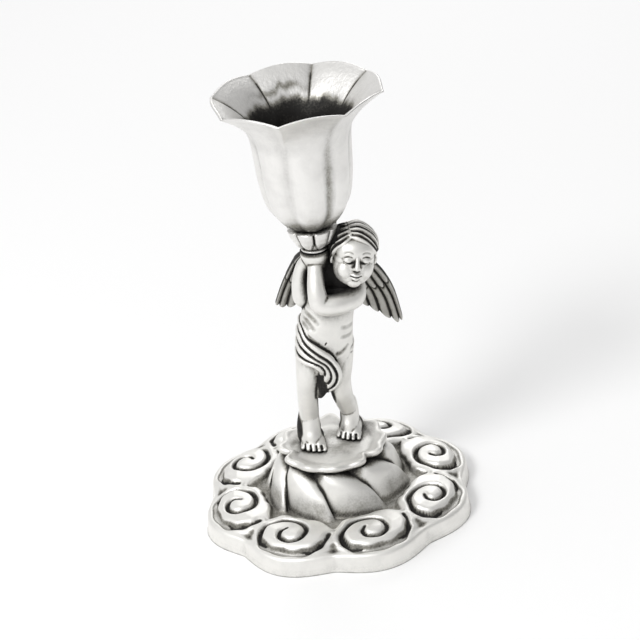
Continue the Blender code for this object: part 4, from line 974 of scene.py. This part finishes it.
def add_face(kit):
    half = HEAD_HALF

    def lump(x, y, z, wide, deep, tall, sides=28):
        kit.ball(in_head(x, y, z), half * (wide, deep, tall), SPIN, sides)

    lump(0, 0.24, 0.26, 0.88, 0.80, 0.70, 40)
    lump(0, -0.14, -0.28, 0.82, 0.66, 0.66, 40)
    lump(0, -0.30, 0.22, 0.78, 0.55, 0.48, 40)
    lump(0, -0.36, -0.70, 0.34, 0.34, 0.25)
    lump(0, -0.50, -0.48, 0.30, 0.27, 0.22)
    kit.limb(in_head_line([(0, -0.80, 0.14), (0, -0.84, 0.0), (0, -0.89, -0.22)]),
             (0.42, 0.50, 0.74))
    kit.limb(in_head_line([(-0.23, -0.70, -0.455), (-0.07, -0.79, -0.465), (0.07, -0.79, -0.465),
                           (0.23, -0.70, -0.455)]), (0.28, 0.48, 0.48, 0.28), steps=4)
    kit.limb(in_head_line([(-0.17, -0.71, -0.54), (0, -0.77, -0.575), (0.17, -0.71, -0.54)]),
             (0.30, 0.58, 0.30), steps=4)
    lump(0, -0.22, -0.02, 0.80, 0.56, 0.42, 40)
    for side in (-1, 1):
        lump(0.36 * side, -0.46, -0.34, 0.36, 0.30, 0.32)
        lump(0.35 * side, -0.68, 0.01, 0.20, 0.15, 0.12)
        lump(0.88 * side, 0.04, -0.12, 0.10, 0.16, 0.19)
        kit.ball(in_head(0.10 * side, -0.82, -0.25), (0.50, 0.58, 0.42), SPIN, 16)


def face_axis(line):
    """Points straight behind a line on the face."""
    return line + SPIN @ np.array([0, 7.0, 0])


# Width, depth, darkness and points (across, up) of the face's grooves: at each side, in the middle
SIDE_LINES = (
    (0.44, 0.28, 1, ((0.16, -0.04), (0.27, -0.085), (0.42, -0.085), (0.54, -0.035))),
    (0.36, 0.08, 0.18, ((0.17, 0.10), (0.34, 0.145), (0.53, 0.085))),
    (0.46, 0.10, 0.30, ((0.15, 0.225), (0.34, 0.28), (0.57, 0.21))),
    (0.55, 0.08, 0.20, ((0.13, 0), (0.16, -0.14), (0.21, -0.24))),
)
MIDDLE_LINES = (
    (0.34, 0.22, 0.85, ((-0.25, -0.485), (-0.09, -0.52), (0.09, -0.52), (0.25, -0.485))),
    (0.50, 0.09, 0.22, ((-0.13, -0.655), (0, -0.67), (0.13, -0.655))),
    (0.36, 0.12, 0.55, ((-0.13, -0.325), (0, -0.34), (0.13, -0.325))),
)


def carve_face(form):
    for lines, side in ((SIDE_LINES, -1), (SIDE_LINES, 1), (MIDDLE_LINES, 1)):
        for width, depth, dark, points in lines:
            line = in_head_line([(x * side, -1.0, z) for x, z in points])
            form.carve(line, width, depth, dark, 0.25, face_axis)


# Height over the hands' top and radius of the room that the hair leaves
ROOM = ((-0.8, 0), (2.5, 6.5), (6.5, 7.2), (7.5, 7.3), (9.8, 9.8))


def calyx_room(form):
    """Keep the hair clear of the calyx and the cup."""
    limit = table(ROOM, form.v[:, 2] - HAND_TOP)
    away = form.v[:, :2] - (CUP_X, CUP_Y)
    radius = np.linalg.norm(away, axis=1)
    near = radius < limit
    share = (limit / np.maximum(radius, 1e-6))[near, None]
    form.v[near, :2] = (CUP_X, CUP_Y) + away[near] * share


def head_form():
    kit = Kit()
    add_face(kit)
    add_hair(kit)
    kit.limb([in_head(0, 0.2, -0.5), (6.8, 0.4, 47.6)], (2.9, 3.2), steps=3, sides=28)
    kit.ball((4.8, 0.4, 52.2), (3.6, 3, 6.2))
    form = kit.fuse(HEAD_VOXEL, 7)
    carve_hair(form)
    carve_face(form)
    calyx_room(form)
    # Painted shadow of the cup on the left of the head, and painted shade under the chin
    form.shade((4.6, -0.6, 53), (4.6, 5, 8), 1.5)
    form.shade((7.6, -3, 50), (5, 4.5, 3.6), 1.1)
    form.soften(1, 0.3)
    form.v += (0, 0, PLATE_Z)
    return form


# Wings

# Outer edge and inner edge from the root down, and the feathers' ends between them
WING_EDGES = {
    1: (((12.2, 6, 53.2), (15.6, 6.6, 51.6), (18.8, 7.4, 47.6), (21.4, 8.2, 41.2),
         (23, 8.6, 32)),
        ((9.4, 5.6, 51.8), (8.8, 5.7, 48.5), (8.6, 5.8, 45), (9.2, 6, 42.6), (10.2, 6.2, 40.6)),
        ((21.4, 8.4, 30.8), (17.2, 7.6, 34.2), (13.4, 6.8, 37.8))),
    -1: (((-1, 6.4, 56.2), (-3.6, 6.9, 54.4), (-5.9, 7.5, 51), (-8.2, 8.2, 46.6),
          (-10.6, 8.6, 41)),
         ((1.4, 5.8, 55), (1.6, 5.8, 52), (1.8, 5.9, 48), (1.4, 6, 44)),
         ((-9.4, 8.5, 39.6), (-6.6, 8.1, 39.2), (-2.8, 7.2, 40.6))),
}
WING_ROWS = 130
WING_THICKNESS = 1.3
QUILL_RISE = 0.62
FEATHERS = {1: 6, -1: 5}
FEATHER_COLUMNS = 24
# Where each row of short feathers ends on the way down, and how far it stands out
COVERTS = ((0.27, 0.40), (0.57, 0.45))
# Wing pad: distance from its seat, radius
PAD_PROFILE = ((0.5, 0.01), (0.5, 1.3), (0.5, 2.4), (0.6, 2.6), (1.1, 2.6), (1.6, 2.6), (1.9, 2.4),
               (1.9, 1.3), (1.9, 0.01))


def on_path(path, share):
    """Points at shares of the way along a line."""
    places = np.arange(len(path))
    return np.stack([np.interp(share * (len(path) - 1), places, path[:, k]) for k in range(3)], -1)


def blade_points(side, s, t):
    """Points of the blade between its four edges; s runs across it and t down it."""
    outer, inner, between = WING_EDGES[side]
    edges = ((outer[0], inner[0]), outer, inner, (outer[-1], *between, inner[-1]))
    root, outer, inner, ends = (curve_through(edge, 24) for edge in edges)
    s1 = s[..., None]
    t1 = t[..., None]
    across = on_path(root, s) * (1 - t1) + on_path(ends, s) * t1
    down = on_path(outer, t) * (1 - s1) + on_path(inner, t) * s1
    corners = ((root[0] * (1 - s1) + root[-1] * s1) * (1 - t1)
               + (ends[0] * (1 - s1) + ends[-1] * s1) * t1)
    return across + down - corners


def wing_form(side):
    across = FEATHER_COLUMNS * FEATHERS[side]
    t, s = np.meshgrid(np.linspace(0, 1, WING_ROWS), np.linspace(0, 1, across), indexing="ij")
    wave = 0.012 * np.sin(9 * t + 2.0 * s)
    quill = np.abs(np.sin(math.pi * FEATHERS[side] * (s + wave * np.sin(math.pi * s))))
    point = blade_points(side, s, t - 0.05 * (1 - quill) ** 1.5 * t ** 6)
    point[..., 1] += np.sin(math.pi * s)
    half = 0.5 * WING_THICKNESS * (1 - 0.35 * t) + QUILL_RISE * quill ** 0.8 * np.clip(3 * t, 0, 1)
    gap = np.clip(1.35 - 2.0 * quill, 0, 1) * ease(t, 0.03, 0.12)
    for end, rise in COVERTS:
        tip = end + 0.05 * quill
        under = ease(t, tip - 0.012, tip + 0.012)
        half = half + rise * (1 - under)
        gap = np.maximum(gap, np.clip(1 - (t - tip) / 0.045, 0, 1) * under)
    edge = np.clip(np.minimum(s, 1 - s) / 0.05, 0, 1) ** 0.5
    half = half * (0.35 + 0.65 * edge) * (0.35 + 0.65 * np.clip((1 - t) / 0.03, 0, 1) ** 0.5)
    front, back = point.copy(), point.copy()
    front[..., 1] -= half
    back[..., 1] += half
    rings = np.concatenate([front, back[:, ::-1]], 1)
    count = 2 * across
    faces = [ring_faces(WING_ROWS, count)]
    i = np.arange(across - 1)
    for row, way in ((0, -1), (WING_ROWS - 1, 1)):
        cap = np.stack([i, i + 1, count - 2 - i, count - 1 - i], 1) + row * count
        faces.append(cap[:, ::way])
    form = Form(rings.reshape(-1, 3), np.concatenate(faces))
    # Darker between the feathers, with painted shade under each row of short feathers
    form.dark = 0.22 + 0.78 * np.concatenate([gap, gap[:, ::-1]], 1).ravel()
    form.v += (0, 0, PLATE_Z)
    return form


def wing_pad_form(side):
    """The round pad by which a wing sits on its boss."""
    middle, out = WING_SEATS[side]
    across = np.cross(out, (0, 0, 1.0))
    across = across / np.linalg.norm(across)
    upward = np.cross(across, out)
    a = turns(48)[:, None]
    rings = [middle + out * away + radius * (across * np.cos(a) + upward * np.sin(a))
             for away, radius in PAD_PROFILE]
    form = form_of(rings, closed=False)
    form.dark += 0.35
    form.v += (0, 0, PLATE_Z)
    return form


# Calyx and cup

# Share of the calyx's height and radius of its foot, its core and its ribs
CALYX_NECK = ((0, 3.5), (0.06, 3.55), (0.12, 3.1))
CALYX_CORE = ((0.12, 3), (0.4, 3.5), (0.7, 4.6), (1, 5.7))
CALYX_SHAPE = ((0.10, 3.6), (0.25, 4.5), (0.5, 5.5), (0.75, 6.2), (1, 6.6))
RIB_COLUMNS = 36


def calyx_form():
    count = CALYX_RIBS * RIB_COLUMNS
    angle = turns(count)
    away = off_middle(angle, TAU / CALYX_RIBS)
    rings = [loop(angle, SHANK_HOLE, 0.0)]
    for share in np.linspace(0, 1, 72):
        core = table(CALYX_CORE, share)
        tongue_end = 0.10 + 0.36 * away ** 2.2
        inside = np.clip((share - tongue_end) / 0.16, 0, 1) ** 0.5
        round_off = np.sqrt(np.clip(1 - (away / 0.94) ** 4, 0, 1))
        body = core + (table(CALYX_SHAPE, share) - core) * inside * round_off
        radius = np.maximum(body, core) if share >= 0.1 else table(CALYX_NECK, share)
        rings.append(loop(angle, radius, share * CALYX_HEIGHT))
    rings.append(loop(angle, SHANK_HOLE, CALYX_HEIGHT))
    form = form_of(rings)
    cos, sin = math.cos(CALYX_TURN), math.sin(CALYX_TURN)
    spin = np.array([[cos, -sin, 0], [sin, cos, 0], [0, 0, 1]])
    form.v = form.v @ spin.T + (CUP_X, CUP_Y, CALYX_Z)
    return form


# Radius, height share, share of the eight-cornered outline, share of the crease
CUP_OUTSIDE = (
    (CUP_FLOOR * 0.80, 0, 0, 0.2), (CUP_FLOOR + 0.6, 0.02, 0, 0.5),
    (0.72 * CUP_BELLY, 0.09, 0, 1), (0.90 * CUP_BELLY, 0.19, 0, 1), (CUP_BELLY, 0.36, 0, 1),
    (12.55, 0.54, 0.1, 0.9), (CUP_NECK, 0.69, 0.3, 0.7), (14.27, 0.79, 0.55, 0.5),
    (16.46, 0.875, 0.8, 0.3), (19.37, 0.95, 0.95, 0.1), (CUP_RIM, 1, 1, 0),
)
CUP_CREASE = 1.4
CUP_SKEW = math.radians(-16.0)
CUP_SKEW_MIDDLE = math.radians(225.0)
CUP_SKEW_SPREAD = math.radians(50.0)
CUP_BOW = 0.8
CUP_SCALLOP = 1.2
CREASE_ROUND = 0.12
PETAL_STEP = TAU / CUP_PETALS
PETAL_COLUMNS = 42
# Lift and inset of the lip
CUP_LIP = ((0.18, 0.25), (0.20, 0.60))
# Radius, height and inset of the cup's bottom inside, down to the screw's hole
CUP_BOTTOM = (
    (0.66 * CUP_BELLY, 3.6, 1.2), (CUP_FLOOR + 0.5, CUP_FLOOR_TOP + 0.3, 0),
    (CUP_FLOOR, CUP_FLOOR_TOP, 0), (SCREW_ROOM, CUP_FLOOR_TOP, 0), (SHANK_HOLE, 0.7, 0),
)
# Waves of the edge of the patina and painted shade inside the cup: count, start, share
RAGGED = ((9, 0, 1), (23, 1, 1), (41, 2, 0.6))

# Scratches in the cup's right front petal
CUP_MARKS = (
    ((5, -12.5, 97.6), (5.7, -12.3, 96.9), (6.3, -12, 96)),
    ((5.6, -12.3, 95.9), (6.6, -12, 95.2), (7.5, -11.5, 94.8)),
    ((6.9, -11.8, 97.3), (7.2, -11.7, 96.4)),
)


def cup_ring(radius, z, flare=0.0, crease=0.0, inset=0.0):
    angle = CUP_TURN + turns(CUP_PETALS * PETAL_COLUMNS)
    away = off_middle(angle - CUP_TURN, PETAL_STEP)
    valley = np.sqrt(away ** 2 + CREASE_ROUND ** 2) - CREASE_ROUND
    dip = (1 - np.sin(0.5 * math.pi * np.clip(valley, 0, 1))) ** 1.35
    body = radius - CUP_CREASE * crease * dip
    corner = radius * math.cos(PETAL_STEP / 2) / np.cos(PETAL_STEP / 2 * (1 - away))
    bow = CUP_BOW * np.sin(0.5 * math.pi * away) ** 1.3
    r = body + (corner + bow - body) * flare - inset
    lift = CUP_SCALLOP * (np.sin(0.5 * math.pi * away) ** 0.9 - 1) * flare ** 2
    askew = (angle - CUP_SKEW_MIDDLE + math.pi) % TAU - math.pi
    angle = angle + CUP_SKEW * (1 - flare) * np.exp(-(askew / CUP_SKEW_SPREAD) ** 2)
    return loop(angle, r, z + lift)


def cup_form():
    outside = curve_through(CUP_OUTSIDE, 9)
    around = turns(CUP_PETALS * PETAL_COLUMNS)
    seam = off_middle(around, PETAL_STEP)
    # Painted shade: the right seam, on the side away from the light, is darker than the others
    right = np.exp(-((around + CUP_TURN - math.radians(301)) / math.radians(14)) ** 2)
    valley = (0.10 + 0.26 * right) * np.exp(-(seam / (0.24 + 0.08 * right)) ** 2)
    back = np.exp(-(((around + CUP_TURN - math.radians(105)) / math.radians(30)) ** 2))
    ragged = 0.006 * sum(share * np.sin(count * around + start) for count, start, share in RAGGED)
    rows = [(cup_ring(SHANK_HOLE, 0.0), 1.0)]
    for radius, share, flare, crease in outside:
        foot = 0.7 * (1 - ease(share, 0.02, 0.16))
        rows.append((cup_ring(radius, share * CUP_HEIGHT, flare, crease),
                     np.maximum(foot, valley * (1 - 0.8 * flare))))
    for lift, inset in CUP_LIP:
        rows.append((cup_ring(CUP_RIM, CUP_HEIGHT + lift, 1.0, 0.0, inset), 0.0))
    for radius, share, flare, crease in outside[::-1]:
        if share < 0.13:
            continue
        wall = 1.2 - 0.4 * share
        z = share * CUP_HEIGHT + (0.3 * (1 - share) - 0.05 * share)
        # Patina and painted shade fill the cup's inside below a ragged edge
        deep = 1.4 * (1 - ease(share + ragged, 0.72, 0.87))
        grime = 0.45 * back * np.exp(-((share + 1.5 * ragged - 0.885) / 0.028) ** 2)
        line = np.clip(1 - seam / 0.075, 0, 1) * ease(1 - share, 0.005, 0.06)
        rows.append((cup_ring(radius, z, flare, 0.75 * crease, wall),
                     np.maximum(np.maximum(deep, grime), 0.9 * line)))
    rows += [(cup_ring(radius, z, inset=inset), 1.0) for radius, z, inset in CUP_BOTTOM]
    form = form_of([ring for ring, _ in rows])
    form.dark = np.concatenate([np.broadcast_to(dark, around.shape) for _, dark in rows])
    form.v += (CUP_X, CUP_Y, CUP_Z)
    for mark in CUP_MARKS:
        form.carve(mark, 0.30, 0.10, 0.12, 0.3)
    return form


# Camera, floor and light

CLIP = (0.01, 10)
FLOOR_HALF = 3.0
FLOOR_TONE = 0.96
# Place in metres, size and power
LAMPS = {"key": ((-0.5, -0.5, 0.75), 0.35, 4.4), "back": ((0.15, 0.8, 0.6), 0.5, 1.2)}
LAMPS_LOOK_AT = Vector((0, 0, 0.05))
WORLD_STRENGTH = 0.82
STUDIO_TONES = ((0, 1), (0.5, 0.96), (0.8, 0.62), (1, 0.48))


def add_camera():
    back = np.array([0, -math.cos(VIEW_ELEVATION), math.sin(VIEW_ELEVATION)])
    right = np.array([1.0, 0.0, 0.0])
    up = np.cross(right, -back)
    turned_right = right * math.cos(VIEW_ROLL) - up * math.sin(VIEW_ROLL)
    turned_up = up * math.cos(VIEW_ROLL) + right * math.sin(VIEW_ROLL)
    place = (VIEW_TARGET + back * VIEW_DISTANCE) * MM
    camera = bpy.data.cameras.new("camera")
    camera.sensor_width = SENSOR
    camera.lens = FOCAL_PIXELS / PICTURE_PIXELS * SENSOR
    camera.clip_start, camera.clip_end = CLIP
    item = add_object("camera", camera)
    axes = np.array([turned_right, turned_up, back, place]).T
    item.matrix_world = Matrix(np.vstack([axes, (0, 0, 0, 1)]))
    bpy.context.scene.camera = item


def add_floor():
    mesh = bpy.data.meshes.new("floor")
    half = FLOOR_HALF
    corners = [(-half, -half, 0), (half, -half, 0), (half, half, 0), (-half, half, 0)]
    mesh.from_pydata(corners, [], [(0, 1, 2, 3)])
    material = bpy.data.materials.new("pale_floor")
    nodes = Nodes(material, "Principled BSDF")
    nodes.inputs["Base Color"].default_value = (FLOOR_TONE, FLOOR_TONE, FLOOR_TONE, 1.0)
    nodes.inputs["Roughness"].default_value = 0.9
    mesh.materials.append(material)
    item = add_object("floor", mesh)


def add_lights():
    for name, (place, size, power) in LAMPS.items():
        lamp = bpy.data.lights.new(name, "AREA")
        lamp.shape = "DISK"
        lamp.size = size
        lamp.energy = power
        item = add_object(name, lamp)
        item.location = place
        way = LAMPS_LOOK_AT - Vector(place)
        item.rotation_euler = way.to_track_quat("-Z", "Y").to_euler()


def add_world():
    """A white studio that is a little darker to the right."""
    world = bpy.data.worlds.new("studio")
    nodes = Nodes(world, "Background")
    place = nodes.new("ShaderNodeTexCoord").outputs["Generated"]
    split = nodes.new("ShaderNodeSeparateXYZ", Vector=place)
    across = nodes.math("MULTIPLY_ADD", split.outputs["X"], 0.5, 0.5)
    stops = [(stop, (tone, tone, tone)) for stop, tone in STUDIO_TONES]
    nodes.feed("Color", nodes.ramp(across, stops))
    nodes.inputs["Strength"].default_value = WORLD_STRENGTH
    bpy.context.scene.world = world
    bpy.context.scene.view_settings.view_transform = "Standard"


def main():
    add_camera()
    add_world()
    add_floor()
    add_lights()
    metals = [antique(name, *look) for name, look in METALS.items()]
    silver, dish, skin, feather, cup_metal = metals
    base_form().piece("base_casting", silver, "antique_silver", "base",
                      scales=((8, 0.10), (50, 0.75)))
    figure = ("antique_silver_figure", "cherub_figure")
    plate_form().piece("foot_plate_casting", dish, *figure, scales=((40, 1.5),))
    body = body_form()
    carve_body(body)
    body.piece("figure_casting", skin, *figure)
    head_form().piece("head_casting", skin, *figure, scales=((6, 0.05), (30, 0.22)))
    wings = ((1, "left_wing"), (-1, "right_wing"))
    for side, name in wings:
        wing_form(side).piece(name + "_casting", feather, "antique_silver_wing", name,
                              scales=((6, 0.06), (40, 0.35)))
    for side, name in wings:
        wing_pad_form(side).piece(name + "_pad", feather, "antique_silver_wing", name)
    calyx_form().piece("calyx_casting", cup_metal, "antique_silver_cup", "calyx",
                       scales=((6, 0.08), (30, 0.35)))
    cup_form().piece("candle_cup_casting", cup_metal, "antique_silver_cup", "candle_cup",
                     scales=((40, 0.8),))
    steel = plated("plated_screws")
    for name in ("cup_screw", "base_screw", "base_washer"):
        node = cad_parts[name]
        node.data.materials.clear()
        node.data.materials.append(steel)


main()
